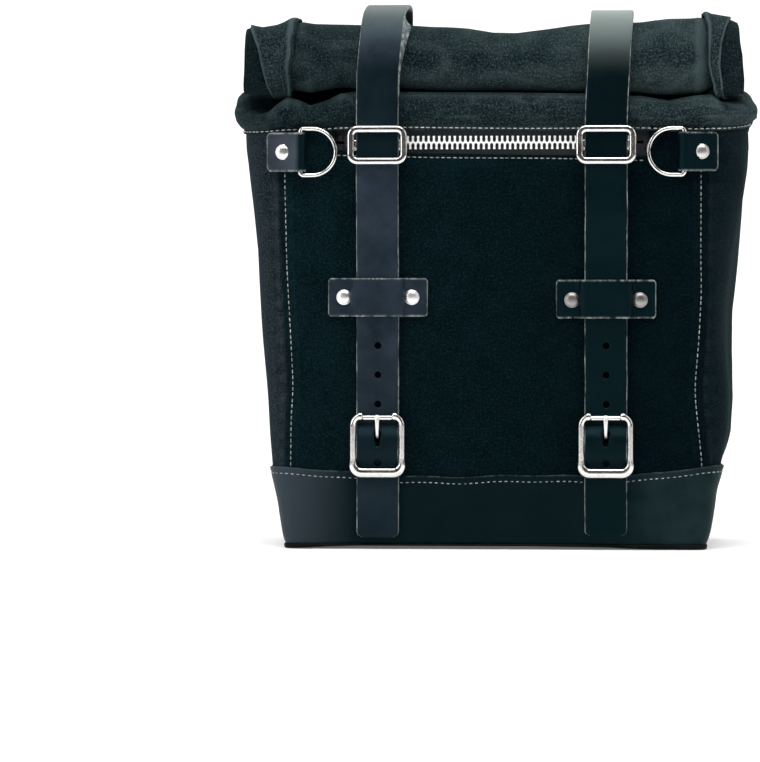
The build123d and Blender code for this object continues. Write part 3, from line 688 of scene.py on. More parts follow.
# the prong is painted black where its arm sits down in the strap's slot: painted shade
cast_nickel = metal_material("cast_nickel", rgb(0.85, 0.84, 0.81), 0.28, 0.42, 0.05, 0.6,
                             painted_shade_heights=(BUCKLE_Z + 4.0, BUCKLE_Z + 6.5))
dull_nickel = metal_material("dull_nickel", rgb(0.30, 0.29, 0.28), 0.30, 0.46, 0.1)
satin_nickel = metal_material("satin_nickel", rgb(0.55, 0.54, 0.52), 0.28, 0.44, 0.1)
rivet_nickel = metal_material("rivet_nickel", rgb(0.86, 0.85, 0.83), 0.26, 0.42, 0.08)
zip_nickel = metal_material("zip_nickel", rgb(0.95, 0.95, 0.94), 0.38, 0.55, 0.06, 0.35)
dark_metal = metal_material("dark_metal", rgb(0.010, 0.014, 0.017), 0.45, 0.6, 0.06, 0.5)
thread_grey = thread_material("thread_grey", rgb(0.38, 0.39, 0.38), rgb(0.11, 0.12, 0.12))
thread_white = thread_material("thread_white", rgb(0.66, 0.67, 0.66), rgb(0.26, 0.27, 0.27))
tape_black = tape_material("tape_black")
sole_rubber = rubber_material("sole_rubber")
board_plastic = rubber_material("board_plastic")


# ====================================================================================================
# The canvas body as one surface
# ====================================================================================================
def body_point(u, z):
    """Point and outward normal on the smooth body, u millimetres round from the front's middle (right is
    positive) at height z."""
    u, z = np.broadcast_arrays(np.asarray(u, float), np.asarray(z, float))
    sign = np.where(u < 0, -1.0, 1.0)
    width = np.where(u < 0, np.interp(z, HEIGHTS, LEFT_WIDTHS), np.interp(z, HEIGHTS, RIGHT_WIDTHS))
    radius = np.interp(z, RADIUS_HEIGHTS, CORNER_RADII)
    depth = BACK_Y - FRONT_Y
    flat = width - radius
    arc = radius * math.pi / 2
    side = depth - 2 * radius
    s = np.abs(u)
    corner_1 = np.clip((s - flat) / arc, 0, 1) * math.pi / 2
    along = np.clip(s - flat - arc, 0, side)
    corner_2 = np.clip((s - flat - arc - side) / arc, 0, 1) * math.pi / 2
    back = np.maximum(s - flat - 2 * arc - side, 0)
    x = np.minimum(s, flat) + radius * np.sin(corner_1) - radius * (1 - np.cos(corner_2)) - back
    y = FRONT_Y + radius * (1 - np.cos(corner_1)) + along + radius * np.sin(corner_2)
    normal_x, normal_y = np.sin(corner_1 + corner_2), -np.cos(corner_1 + corner_2)
    point = np.stack([sign * x, y, z], -1)
    return point, np.stack([sign * normal_x, normal_y, np.zeros_like(x)], -1)


def back_start(z, side):
    """u at which the back seam lies, for side -1 (left) or 1 (right)."""
    width = np.interp(z, HEIGHTS, LEFT_WIDTHS if side < 0 else RIGHT_WIDTHS)
    radius = np.interp(z, RADIUS_HEIGHTS, CORNER_RADII)
    to_back = (width - radius) + radius * math.pi + (BACK_Y - FRONT_Y - 2 * radius)
    return to_back + (width - radius) - SEAM_X


def seam_shift(u, z):
    """How the front panel's side edge strays from SEAM_X: all of it at the edge, nothing in the middle."""
    z = np.asarray(z, float)
    softly = (-8, -4, 0, 4, 8)
    left, right = (sum(np.interp(z + d, SEAM_HEIGHTS, line) for d in softly) / len(softly)
                   for line in (SEAM_LEFT, SEAM_RIGHT))
    stray = np.where(u < 0, -(left + STITCH_INSET - SEAM_X), right + STITCH_INSET - SEAM_X)
    return stray * smooth_step(np.abs(u), 80, SEAM_X - 6)


def hardware_calm(x, y, z):
    """1 on open cloth, towards 0 under straps, keepers, buckles and tabs, where the cloth is held flat."""
    calm = np.ones_like(x)
    for side in (-1, 1):
        strap = bump_at(x, side * STRAP_X, 24)
        calm = calm * (1 - 0.85 * strap)
        keeper = smooth_step(-np.abs(x - side * STRAP_X), -42, -30) * bump_at(z, KEEPER_Z, 22)
        tab = smooth_step(-np.abs(x - side * 130), -30, -14) * bump_at(z, RING_Z, 20)
        calm = calm * (1 - keeper) * (1 - tab)
    front = smooth_step(-y, 40, 58)
    return 1 - front * (1 - calm)


def puff(points, normals):
    """How far the filled canvas stands off the smooth body, with its creases and seam puckers."""
    x, y, z = points[..., 0], points[..., 1], points[..., 2]
    level = smooth_step(z, 40, 75) * smooth_step(-z, -272, -240)
    broad = noise_at(points * [1, 1, 0.7], 85, 3.0)
    middle = folds_at(points * [1.0, 1.0, 0.55], 60, 11.0)
    small = noise_at(points * [1.0, 1.0, 0.6], 21, 7.0)
    side_face = np.abs(normals[..., 0]) ** 2
    back_face = np.clip(normals[..., 1], 0, 1)
    out = 0.9 * broad + 0.55 * middle + 0.35 * small
    out = out * hardware_calm(x, y, z) - 0.35
    belly = 4.2 * np.sin(np.clip(z / 280, 0, 1) * math.pi) * bump_at(y, 4, 40)
    out += side_face * (belly + 1.6 * middle * level)
    out += back_face * 0.5 * broad
    out += 2.0 * bump_at(z, 64, 9) * smooth_step(x, 92, 116) * (1 - side_face)
    seam_gap = np.abs(np.abs(x) - SEAM_X) + 200 * smooth_step(side_face, 0.3, 0.6)
    pucker = np.exp(-seam_gap / 6.0)
    out += pucker * (0.45 * np.sin(z / 1.9 + 3 * noise_at(points, 30, 2.0)) - 0.9) * level
    return out * (0.25 + 0.75 * level)


def skin(u, z, lift=0.0):
    """Point on the filled canvas, and the smooth body's normal there."""
    point, normal = body_point(u, z)
    out = puff(point, normal) + lift
    return point + normal * out[..., None], normal


def spaced(low, high, step):
    return np.linspace(low, high, max(2, int(round((high - low) / step)) + 1))


def zip_tilt(x, z):
    """How far the zip and its window hang below level at x: the right-hand end is the lower."""
    return ZIP_TILT * np.clip(x, -WINDOW_HALF, WINDOW_HALF) * smooth_step(z, 215, 247)


def make_front_panel():
    """Outer wall of the front pocket, lapped over the gussets, with the zip's window cut in it."""
    cell = 1.9
    xs = np.unique(np.concatenate([spaced(-SEAM_X - 1, SEAM_X + 1, cell), [-WINDOW_HALF, WINDOW_HALF]]))
    below, beside = spaced(PANEL_FOOT, WINDOW_LOW, cell), spaced(WINDOW_LOW, SHOULDER_LOW + 4, cell)
    zs = np.unique(np.concatenate([below, beside]))
    u, z = np.meshgrid(xs, zs)
    hem = 0.7 * smooth_step(z, WINDOW_LOW - 7, WINDOW_LOW - 5.5) * smooth_step(-np.abs(u), -107, -101)
    lap = 0.5 * smooth_step(np.abs(u), SEAM_X - 9, SEAM_X - 7.5)
    groove = -0.5 * bump_at(np.abs(u), SEAM_X - STITCH_INSET, 1.0)
    groove = groove - 0.5 * bump_at(z, WINDOW_LOW - HEM_INSET, 0.9) * (hem > 0.3)
    points, _ = skin(u + seam_shift(u, z), z, 0.35 + hem + lap + groove)
    points[..., 2] += zip_tilt(u, z)
    middle_x = (xs[1:] + xs[:-1]) / 2
    middle_z = (zs[1:] + zs[:-1]) / 2
    in_window = (np.abs(middle_x)[None, :] < WINDOW_HALF) & (middle_z[:, None] > WINDOW_LOW)
    return cloth_piece("front_panel", points, canvas_black, ["pocket_panel"], keep=~in_window,
                       uvs=np.stack([u, z], -1))


def make_gusset(side, node):
    """Side wall, from under the front panel's edge round to under the back panel's."""
    zs = spaced(PANEL_FOOT, SIDE_TOP, 2.2)
    share = np.linspace(0, 1, 110)
    front_edge, back_lap = SEAM_X - 14, 5
    z, share = np.meshgrid(zs, share, indexing="ij")
    u = side * (front_edge + share * (back_start(z, side) + back_lap - front_edge))
    tuck = -1.6 * smooth_step(z, SHOULDER_LOW - 2, SHOULDER_LOW + 4)
    under = -1.0 * smooth_step(-(np.abs(u) - np.abs(side * SEAM_X + seam_shift(u, z))), -3, -0.5)
    points, _ = skin(u, z, tuck + under - 0.2)
    return cloth_piece(node.replace("side_", "canvas_"), points, canvas_side, [node], flip=side < 0,
                       uvs=np.stack([u, z], -1))


def make_back_panel():
    """Flat back wall, lapped over the gussets."""
    zs = spaced(PANEL_FOOT, BACK_TOP, 2.4)
    x, z = np.meshgrid(np.linspace(SEAM_X + 1, -SEAM_X - 1, 120), zs)
    base = np.stack([x, np.full_like(x, BACK_Y), z], -1)
    normal = np.zeros_like(base)
    normal[..., 1] = 1
    lap = 0.25 * smooth_step(np.abs(x), SEAM_X - 9, SEAM_X - 7.5)
    base[..., 1] += 0.25 * puff(base, normal) - 0.1 + lap
    return cloth_piece("canvas_back", base, canvas_black, ["back_panel"], uvs=np.stack([x, z], -1))


# ---- shoulder: the canvas above the zip -----------------------------------------------------------
SHOULDER_REACH = 296
# (distance round from the front's middle, height) of its upper edge
SHOULDER_EDGE = [(-296, 281), (-262, 285), (-225, 291), (-200, 296), (-186, 294.5), (-177, 290),
                 (-170, 284.5), (-163, 280), (-152, 277), (-144, 278.6), (-138, 283), (-131, 287.6),
                 (-124, 286), (-116, 282.4), (-106, 285.4), (-97, 289.8), (-85, 291.4), (-40, 290.6),
                 (10, 290.2), (60, 289.6), (95, 287.8), (112, 285), (130, 288.2), (141, 288.8), (147, 284.6),
                 (156, 284), (165, 284.5), (176, 289), (186, 294), (200, 296), (225, 291), (262, 285),
                 (296, 281)]
# (share of the way up, how far it stands out)
SHOULDER_PROFILE = [(0.0, 0.7), (0.05, 1.3), (0.09, 0.5), (0.14, 0.6), (0.22, 2.6), (0.36, 4.3), (0.52, 5.0),
                    (0.68, 4.6), (0.82, 3.2), (0.93, 0.8), (1.0, -3.0)]


def hem_rise(u):
    """The shoulder's lower hem sags here and there and lifts at its right-hand end."""
    sags = [(-0.9, 30, 60), (-1.6, -150, 45), (-1.3, 132, 30), (2.6, 185, 28)]
    return sum(amount * bump_at(u, centre, width) for amount, centre, width in sags)


def make_shoulder():
    """Bulging canvas above the zip: it turns the front corners and tucks in under the roll."""
    u = spaced(-SHOULDER_REACH, SHOULDER_REACH, 1.9)
    edge = np.interp(u, *zip(*SHOULDER_EDGE))
    heights, lifts = zip(*SHOULDER_PROFILE)
    share = np.concatenate([np.linspace(0, 0.2, 9), np.linspace(0.24, 1.0, 20)])
    rows = [(SHOULDER_LOW + (edge - SHOULDER_LOW) * f, np.interp(f, heights, lifts)) for f in share]
    rows += [(edge + 0.5 - 0.03 * depth, -3.0 - depth) for depth in np.linspace(1, 22, 12)]
    z = np.array([row_z for row_z, _ in rows])
    lift = np.array([np.full_like(u, row_lift) for _, row_lift in rows])
    uu = np.broadcast_to(u, z.shape)
    base, normal = body_point(uu, z)
    amount = smooth_step(z, SHOULDER_LOW + 3, SHOULDER_LOW + 9)
    crumple = 1.1 * folds_at(base * [1, 1, 1.5], 34, 5.0) + 0.9 * noise_at(base, 60, 9.0)
    crumple += 0.35 * noise_at(base * [1, 1, 2], 11, 4.0)
    ends = smooth_step(np.abs(uu), 135, 175)
    lift = lift + amount * (crumple * (1 + 0.6 * ends) * hardware_calm(base[..., 0], base[..., 1], z))
    lift = np.minimum(lift, 5.2 + 1.5 * ends)
    points = base + normal * lift[..., None]
    points[..., 2] += hem_rise(uu) * (1 - smooth_step(z, SHOULDER_LOW + 2, SHOULDER_LOW + 10))
    cloth_piece("canvas_shoulder", points, canvas_worn, ["shoulder_panel"])
    return u, points


# ---- roll -------------------------------------------------------------------------------------------
def roll_section(x, angle, shrink=0.0, lift=0.0):
    """Point on the roll at x. angle runs from the front (0) over the top (90), in degrees; shrink is the
    distance inside the outer surface."""
    top = np.interp(x, *zip(*ROLL_TOP))
    low = np.interp(x, *zip(*ROLL_LOW))
    a = ROLL_DEPTH - shrink + lift
    b = (top - low) / 2 - shrink + lift
    c, s = np.cos(np.radians(angle)), np.sin(np.radians(angle))
    y = ROLL_Y - a * np.sign(c) * np.abs(c) ** (2 / SQUARENESS)
    z = (top + low) / 2 + b * np.sign(s) * np.abs(s) ** (2 / SQUARENESS)
    return np.stack(np.broadcast_arrays(x, y, z), -1)


def roll_wrinkle(points):
    """How far the rolled canvas stands off its smooth shape, with long soft folds along the roll."""
    soft = noise_at(points * [0.55, 1, 1], 40, 21.0)
    crease = folds_at(points * [0.5, 1, 1.2], 30, 31.0)
    small = noise_at(points * [0.8, 1, 1], 12, 41.0)
    return 1.1 * soft + 0.7 * crease + 0.3 * small - 0.6


def corner_inset(y):
    """How far the bag's rounded back corner draws in at depth y."""
    past = np.clip(y - (BACK_Y - BACK_ROUND), 0, BACK_ROUND - 0.1)
    return BACK_ROUND - np.sqrt(BACK_ROUND ** 2 - past ** 2)


def pushed_out(points, row, amount):
    """Moves a sheet out by amount along its normals, and says which way round its faces are. row is one that
    faces the front."""
    normal = grid_normals(points)
    sign = 1.0 if normal[row, points.shape[1] // 2, 1] < 0 else -1.0
    return points + normal * (sign * amount)[..., None], sign < 0


def make_roll():
    """One canvas sheet: it leaves the back wall, slopes up the neck and winds forward into the roll."""
    start_angle, angle_step, columns = 122.0, 5.5, 150
    total = 360 * ROLL_TURNS
    angles = start_angle - np.linspace(0, total, int(total / angle_step))
    neck_path = [(59.6, 276.0), (60.4, 284.5), (50.0, 291.0), (20.0, 306.5), (-8.0, 321.5)]
    neck = rounded_path(neck_path, [3, 10, 20], 4.0)
    rows, turned = [], []
    share = np.linspace(0, 1, columns)
    for i, (y, z) in enumerate(neck):
        f = i / len(neck)
        inset = corner_inset(y)
        left, right = -155 + 2 * f + inset, 157 - f - inset
        x = left + share * (right - left)
        sag = 1.8 * math.sin(math.pi * f) * (1 - (x / 160) ** 2)
        p = np.stack([x, np.full_like(x, y), z - sag], -1)
        follow = smooth_step(f, 0.55, 1.0)
        target = roll_section(x, start_angle + 14 * (1 - f))
        p[:, 2] = p[:, 2] * (1 - follow) + (target[:, 2] + (y - target[:, 1]) * -0.42) * follow
        rows.append(p)
        turned.append(-1.0)
    for angle in angles:
        travelled = (start_angle - angle) / 360
        inner = smooth_step(travelled, 0.48, 0.62)
        right_end, left_end = 152.5 + 2.0 * inner, -152.0 - 3.0 * inner
        drawn = max(0.0, travelled - 1.5) * 3.0
        left_end, right_end = left_end + drawn, right_end - drawn
        x = left_end + share * (right_end - left_end)
        pinch = 7.0 * smooth_step(np.abs(x), 130, 147) * smooth_step(travelled, 0.0, 0.06)
        rows.append(roll_section(x, angle, ROLL_PITCH * travelled + pinch))
        turned.append(travelled)
    points = np.array(rows)
    held = np.where(np.array(turned) < 0.9, 1.0, 0.45)[:, None]
    blend_in = smooth_step(np.arange(len(rows)), 0, 6)[:, None]
    calm = 1 - 0.6 * (bump_at(points[..., 0], -70, 20) + bump_at(points[..., 0], 76, 20))
    out = roll_wrinkle(points) * held * blend_in * calm
    points, flip = pushed_out(points, len(neck) + 20, out)
    return cloth_piece("canvas_roll", points, canvas_worn, ["roll_top", "neck_canvas"], flip=flip)


# (height, x) down the outer and inner edge of the band at each end, and down the roll's end outside it
LEFT_BAND_OUT = [(288, -139), (291, -140.5), (295.7, -143), (306, -145.6), (320, -149), (334, -154.8)]
LEFT_BAND_IN = [(288, -128), (309, -127.4), (325, -125.6), (338, -123.4)]
RIGHT_BAND_OUT = [(284, 149), (292, 146.2), (308, 143.8), (320, 144.8), (330, 147.8), (339, 151.6)]
RIGHT_BAND_IN = [(284, 145), (293, 141.5), (308, 137), (328, 136.9), (340, 133.4)]
LEFT_FLANK = [(286, -159.8), (296, -159.4), (305, -158.8), (318, -158.4), (330, -157.8), (334, -157.4)]
RIGHT_FLANK = [(284, 160), (298, 160), (306, 159.4), (314, 159), (322, 157.5), (331, 156.6), (336, 155),
               (339, 153)]


def make_roll_band(name, outer, inner):
    """The folded-in gusset canvas that shows as a raised band near one end of the roll."""
    angles = np.arange(150, -118, -3.5)
    share = np.linspace(0, 1, 22)
    rows = []
    for angle in angles:
        z_here = roll_section(np.array(np.mean([outer[0][1], inner[0][1]])), angle)[2]
        level = z_here if -90 <= angle <= 90 else (inner[0][0] if angle < 0 else 340)
        x_out, x_in = np.interp(level, *zip(*outer)), np.interp(level, *zip(*inner))
        x_in = x_in + 0.8 * noise.noise(Vector((angle / 30, x_in, 0)))
        x = x_out + share * (x_in - x_out)
        edge = 1 - smooth_step(share, 0.86, 1.0) * 0.9
        flat_top = 0.9 * float(smooth_step(angle, 30, 70)) * (1 - share)
        hems = 0.9 * bump_at(share, 0.9, 0.12) + 0.5 * bump_at(share, 0.0, 0.06)
        rows.append(roll_section(x, angle, 0.0, 0.7 + 1.5 * edge + hems - 1.6 * flat_top))
    points = np.array(rows)
    points, flip = pushed_out(points, len(rows) // 2, 0.8 * (roll_wrinkle(points) + 0.6))
    rim = np.broadcast_to(0.9 * np.exp(-share / 0.05), points.shape[:2])
    return cloth_piece(name, points, canvas_band, flip=flip, rim=rim)


def make_roll_flank(name, inner, outer):
    """The layer of the roll that shows outside a band: it falls back towards the roll's end."""
    angles = np.arange(118, -112, -3.5)
    share = np.linspace(0, 1, 18)
    rows = []
    for angle in angles:
        z_here = roll_section(np.array(outer[1][1]), angle)[2]
        level = z_here if angle < 90 else outer[-1][0]
        x_in, x_out = np.interp(level, *zip(*inner)), np.interp(level, *zip(*outer))
        x_in = x_in - 3.5 * np.sign(x_out)
        x = x_in + share * (x_out - x_in)
        section = roll_section(x, angle, 0.2)
        section[:, 1] += 5.0 * share ** 1.6 * max(math.cos(math.radians(angle)), 0) ** 0.4
        rows.append(section)
    points = np.array(rows)
    points, flip = pushed_out(points, len(rows) // 2, 0.7 * roll_wrinkle(points))
    # painted shade: this layer takes the darker copy of the roll's canvas
    return cloth_piece(name, points, canvas_flank_shaded, flip=flip)


def make_neck_fold(side, node):
    """Gusset canvas folded in between the side wall and the sloping neck."""
    share_y = np.linspace(0, 1, 50)
    share_up = np.linspace(0, 1, 26)
    f, g = np.meshgrid(share_y, share_up)
    y_low, y_high = 60 - 84 * f, 59 - 82 * f
    z_low, z_high = 279.5 + 3 * f, 284.5 + 41 * f
    width = np.interp(281, HEIGHTS, LEFT_WIDTHS if side < 0 else RIGHT_WIDTHS) - 1.5
    x_low = width - corner_inset(y_low)
    x_high = 155.0 - 1.0 * f
    tuck = 22 * np.sin(math.pi * g) * smooth_step(f, 0.0, 0.7)
    x = x_low + (x_high - x_low) * g - tuck
    z = z_low + (z_high - z_low) * g
    y = y_low + (y_high - y_low) * g
    points = np.stack([side * x, y, z], -1)
    crumple = 0.8 * folds_at(points, 26, 13.0) + 0.6 * noise_at(points, 14, 17.0)
    edge = np.sin(math.pi * g) ** 0.5
    points[..., 0] += side * crumple * edge
    # painted shade: the fold takes the darkest canvas, in place of the roll's paler canvas, for the shade
    # under the roll
    return cloth_piece(node.replace("neck", "canvas_neck"), points, canvas_black, [node], flip=side > 0)


# ---- boot and sole --------------------------------------------------------------------------------
BOOT_CELL = 0.0048             # one column of the boot, as a share of half the way round
BOOT_THICK = 1.9
BOOT_STITCH = 4.2              # from its upper edge to its stitching


def boot_top(u):
    """Height of the boot's wavy upper edge, which climbs towards the sides."""
    rise = 6.0 * smooth_step(np.abs(u), 60, 150)
    return 46.6 + rise + 0.7 * np.sin(u / 19.0) + 0.4 * np.sin(u / 7.3 + 1)


def full_round(share, z):
    """u for a share of the way round: 0 at the front's middle, -1 and 1 both at the back's middle."""
    return np.where(share < 0, share * (back_start(z, -1) + SEAM_X), share * (back_start(z, 1) + SEAM_X))


def boot_surface(u, z, lift):
    """Point this far off the canvas on the boot's gently swollen leather, and the normal there."""
    point, normal = body_point(u, z)
    swell = 0.9 * noise_at(point * [1, 1, 1.4], 55, 51.0) + 0.5 * noise_at(point, 20, 53.0)
    straps = bump_at(point[..., 0], -STRAP_X, 20) + bump_at(point[..., 0], STRAP_X, 20)
    front = smooth_step(-point[..., 1], 45, 60)
    swell = swell * (1 - 0.9 * np.clip(straps, 0, 1) * front) * smooth_step(z, 2, 14)
    return point + normal * (swell + lift)[..., None], normal


def make_boot():
    """Leather round the foot, a little proud of the canvas, with its stitching sunk in."""
    round_share = spaced(-1, 1, BOOT_CELL)
    u = full_round(round_share, 40.0)
    top = boot_top(u)
    share = np.concatenate([np.linspace(0, 0.08, 4), np.linspace(0.12, 1, 24)])
    foot = 1.9
    z = foot + share[:, None] * (top - foot)[None, :]
    uu = full_round(round_share, z)
    lift = BOOT_THICK - 1.6 * np.exp(-(z - foot) / 2.0) - 0.35 * bump_at(top[None, :] - z, BOOT_STITCH, 0.9)
    points, _ = boot_surface(uu, z, lift)
    rim = np.zeros(z.shape)
    rim[-1] = 1
    piece = make_piece("leather_boot", points, grid_faces(*z.shape), leather_boot, "bag",
                       np.stack([uu, z], -1), rim)
    thicken(piece, BOOT_THICK, -1.0, 0.45)
    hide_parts("base_boot")
    return piece


def make_sole():
    """Sole plate with a rough cut edge, standing a little proud of the boot."""
    u = full_round(np.linspace(-1, 1, 420, endpoint=False), 1.0)
    profile = [(0.0, -4.0), (0.0, 1.4), (0.5, 2.0), (2.2, 2.3), (2.9, 1.9), (3.1, 1.2), (3.1, -4.0)]
    thickness = profile[-1][0]
    point, normal = body_point(u, 1.0)
    rings = []
    for height, lift in profile:
        rough = 0.45 * noise_at(point, 9, 61.0) + 0.3 * noise_at(point + [0, 0, height * 3], 3, 63.0)
        rough = rough * (lift > 0)
        ring = point + normal * (lift + rough)[..., None]
        arch = smooth_step(-np.abs(ring[..., 0] + 15), -118, -70) * smooth_step(-ring[..., 1], 20, 60)
        ring[..., 2] = height + 1.7 * arch * (1 - height / thickness)
        rings.append(ring)
    points = np.array(rings)
    count = points.shape[1]
    faces = grid_faces(len(rings), count, wrap=True)
    faces.append(tuple(reversed(range(count))))
    faces.append(tuple((len(rings) - 1) * count + k for k in range(count)))
    piece = make_piece("sole_plate", points, faces, sole_rubber)
    fix_normals(piece)
    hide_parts("base_sole")
    return piece


# ====================================================================================================
# Stitching
# ====================================================================================================
# (place along a stitch, thickness, how deep it dives into the cloth), each as a share of the whole
STITCH_RINGS = [(-0.5, 0.15, 1.0), (-0.42, 0.62, 0.7), (-0.25, 0.92, 0.25), (0.0, 1.0, 0.0),
                (0.25, 0.92, 0.25), (0.42, 0.62, 0.7), (0.5, 0.15, 1.0)]
STITCH_DIVE = 0.5


def stitches(name, line, normals, material=thread_grey):
    """Separate stitches along a dense line that lies on the cloth."""
    distance = lengths_along(line)
    sides, look_ahead = 7, 0.2

    def at_distance(values, s):
        return np.array([np.interp(s, distance, values[:, i]) for i in range(3)])

    faces = grid_faces(len(STITCH_RINGS), sides, wrap=True)
    faces.append(tuple(reversed(range(sides))))
    faces.append(tuple((len(STITCH_RINGS) - 1) * sides + j for j in range(sides)))
    parts = []
    for k in range(int(distance[-1] // STITCH_PITCH)):
        jitter = 0.12 * noise.noise(Vector((k * 1.7, distance[-1], 3)))
        middle = (k + 0.5 + jitter) * STITCH_PITCH
        verts = []
        for at, size, deep in STITCH_RINGS:
            s = middle + at * STITCH_LENGTH
            p = at_distance(line, s)
            n = at_distance(normals, s)
            n /= np.linalg.norm(n)
            t = at_distance(line, s + look_ahead) - p
            t = t / max(np.linalg.norm(t), 1e-9)
            side = np.cross(t, n)
            base = p + n * (STITCH_RADIUS * 0.55 - deep * STITCH_DIVE)
            for j in range(sides):
                a = 2 * math.pi * j / sides
                verts.append(base + STITCH_RADIUS * size * (math.cos(a) * side + 0.8 * math.sin(a) * n))
        parts.append((verts, faces))
    verts, faces = join_parts(parts)
    return make_piece(name, verts, faces, material)


def make_stitching(shoulder):
    """Rows down the side seams, along both edges of the zip's window, and round the boot."""
    zs = spaced(52, 262, 2.0)
    for side, label in SIDES:
        u = side * (SEAM_X - STITCH_INSET)
        stitches(f"stitches_seam_{label}", *skin(u + seam_shift(u, zs), zs, 0.55))
    xs = spaced(-WINDOW_HALF, WINDOW_HALF, 2.0)
    line, normal = skin(xs, WINDOW_LOW - HEM_INSET + 0.25 * np.sin(xs / 23), 0.85)
    line[:, 2] += zip_tilt(xs, WINDOW_LOW)
    stitches("stitches_zip_lower", line, normal)
    u, points = shoulder
    hem_row, left_end, right_end = 3, -235, 240
    inside = (u > left_end) & (u < right_end)
    line = points[hem_row][inside] + [0, 0, 0.25]
    _, normal = body_point(u[inside], line[:, 2])
    stitches("stitches_zip_upper", line + normal * 0.15, normal, thread_white)
    u = full_round(spaced(-0.997, 0.997, BOOT_CELL), 46.0)
    stitches("stitches_boot", *boot_surface(u, boot_top(u) - BOOT_STITCH, 1.62))


# ====================================================================================================
# Leather straps, keepers, tabs
# ====================================================================================================
def ahead(distance):
    """y of a place this far in front of the canvas."""
    return FRONT_Y - distance


def seen_from_side(path, x):
    """What strip needs for a strap at x that follows a path of (y, z)."""
    tangent = np.gradient(path, axis=0)
    tangent /= np.linalg.norm(tangent, axis=1, keepdims=True)
    none = np.zeros(len(path))
    centre = np.stack([none + x, path[:, 0], path[:, 1]], 1)
    across = np.tile([1.0, 0, 0], (len(path), 1))
    return centre, across, np.stack([none, -tangent[:, 1], tangent[:, 0]], 1)


def carve(piece, verts, faces):
    """Cuts a closed shape out of piece and applies the cut."""
    mesh = bpy.data.meshes.new("cutter")
    mesh.from_pydata((np.array(verts) * MM).tolist(), [], faces)
    cutter = bpy.data.objects.new("cutter", mesh)
    bpy.context.scene.collection.objects.link(cutter)
    fix_normals(cutter)
    cut = piece.modifiers.new("cut", "BOOLEAN")
    cut.operation = "DIFFERENCE"
    cut.solver = "EXACT"
    cut.object = cutter
    bpy.context.view_layer.update()
    shaped = bpy.data.meshes.new_from_object(piece.evaluated_get(bpy.context.evaluated_depsgraph_get()))
    piece.modifiers.remove(cut)
    piece.data = shaped
    bpy.data.objects.remove(cutter)


def strap_drift(z, y, side):
    """Sideways wander of each strap on its way over the roll: how far it has strayed when it reaches the top,
    and how much further it strays behind."""
    start, reach, power, behind = (285.0, 4.2, 1.7, 3.0) if side < 0 else (270.0, 3.9, 1.3, 0.0)
    climb = np.clip((z - start) / (STRAP_TOP["left"] - start), 0, 1) ** power
    return reach * climb + behind * smooth_step(y, -62, -20) * smooth_step(z, 230, 320)


def make_strap(side, label):
    """From the tip at the foot over the buckle's bar, up through the slide, over the roll, down the back."""
    rise = STRAP_THICK / 2
    low, high, crest = (ahead(away + rise) for away in (STRAP_LOW, STRAP_HIGH, STRAP_CREST))
    rear, top = BACK_Y + STRAP_REAR + rise, STRAP_TOP[label]
    line = [(low, STRAP_TIP[label]), (low, BUCKLE_Z - 12.8), (crest, BUCKLE_Z - 5.3),
            (crest, BUCKLE_Z + 4.9), (low, BUCKLE_Z + 13.0), (low, 182.0), (high, 214.0),
            (high, top), (-30.0, top), (rear, 292.0), (rear, 196.0)]
    path = rounded_path(line, [9, 9, 9, 9, 60, 60, 32, 26, 22], 1.8)
    y, z = path[:, 0], path[:, 1]
    place = seen_from_side(path, side * STRAP_X + strap_drift(z, y, side))
    leaning = np.clip((z - 262) / 71, 0, 1) ** 3 * (1 - smooth_step(z, 333, 341))
    flare = STRAP_FLARE[label] * leaning * (1 - smooth_step(y, -66, -50))
    piece = strip(f"leather_strap_{label}", place, STRAP_WIDTH, STRAP_THICK, STRAP_LEATHER[label],
                  f"closure_strap_{label}", corner=3.6, wander=0.6, seed=side * 5.0, flare=flare)
    drill_from, axis = ahead(12), (0, 1, 0)
    hole = [(HOLE_RADIUS, 0.0), (HOLE_RADIUS, 11.5)]
    for number in range(-1, 4):
        at = (side * STRAP_X + 0.2, drill_from, BUCKLE_Z + 7.3 + number * HOLE_PITCH)
        carve(piece, *lathe(hole, at, axis, 24))
    slot = [(SLOT_RADIUS, 0.0), (SLOT_RADIUS, 8.0)]
    for step in range(8):
        at = (side * STRAP_X, drill_from, BUCKLE_Z + 1.35 + step * 0.9)
        carve(piece, *lathe(slot, at, axis, 20))
    return piece


def profile_sheet(name, path, middle_z, height, thickness, material, node, corner=1.8):
    """Leather band bent along a path seen from above, with rounded corners at its ends."""
    distance = lengths_along(path)
    ends = np.minimum(distance, distance[-1] - distance)
    inset = corner - np.sqrt(np.maximum(corner ** 2 - np.clip(corner - ends, 0, corner) ** 2, 0))
    share = np.linspace(0, 1, 12)
    low, high = middle_z - height / 2 + inset, middle_z + height / 2 - inset
    z = low[:, None] + share[None, :] * (high - low)[:, None]
    x = np.broadcast_to(path[:, :1], z.shape)
    y = np.broadcast_to(path[:, 1:], z.shape)
    uvs = np.stack([np.broadcast_to(distance[:, None], z.shape), z], -1)
    points, faces = np.stack([x, y, z], -1), grid_faces(*z.shape)
    piece = make_piece(name, points, faces, material, "bag", uvs, rim_of(z.shape))
    thicken(piece, thickness, 0.0, 0.5, True)
    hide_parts(node)
    return piece


def make_keeper(side, label):
    """Leather bridge over the strap, with a riveted foot to each side."""
    foot, top = 1.3, 6.9
    half = [(31.8, foot), (16.6, foot), (15.3, top)]
    cx = side * STRAP_X
    line = [(cx - x, ahead(a)) for x, a in half] + [(cx + x, ahead(a)) for x, a in reversed(half)]
    path = rounded_path(line, [2.0, 2.4, 2.4, 2.0], 1.2)
    return profile_sheet(f"leather_keeper_{label}", path, KEEPER_Z - KEEPER_DROP[label], KEEPER_HEIGHT,
                         2.0, LEATHER[label], f"strap_keeper_{label}")


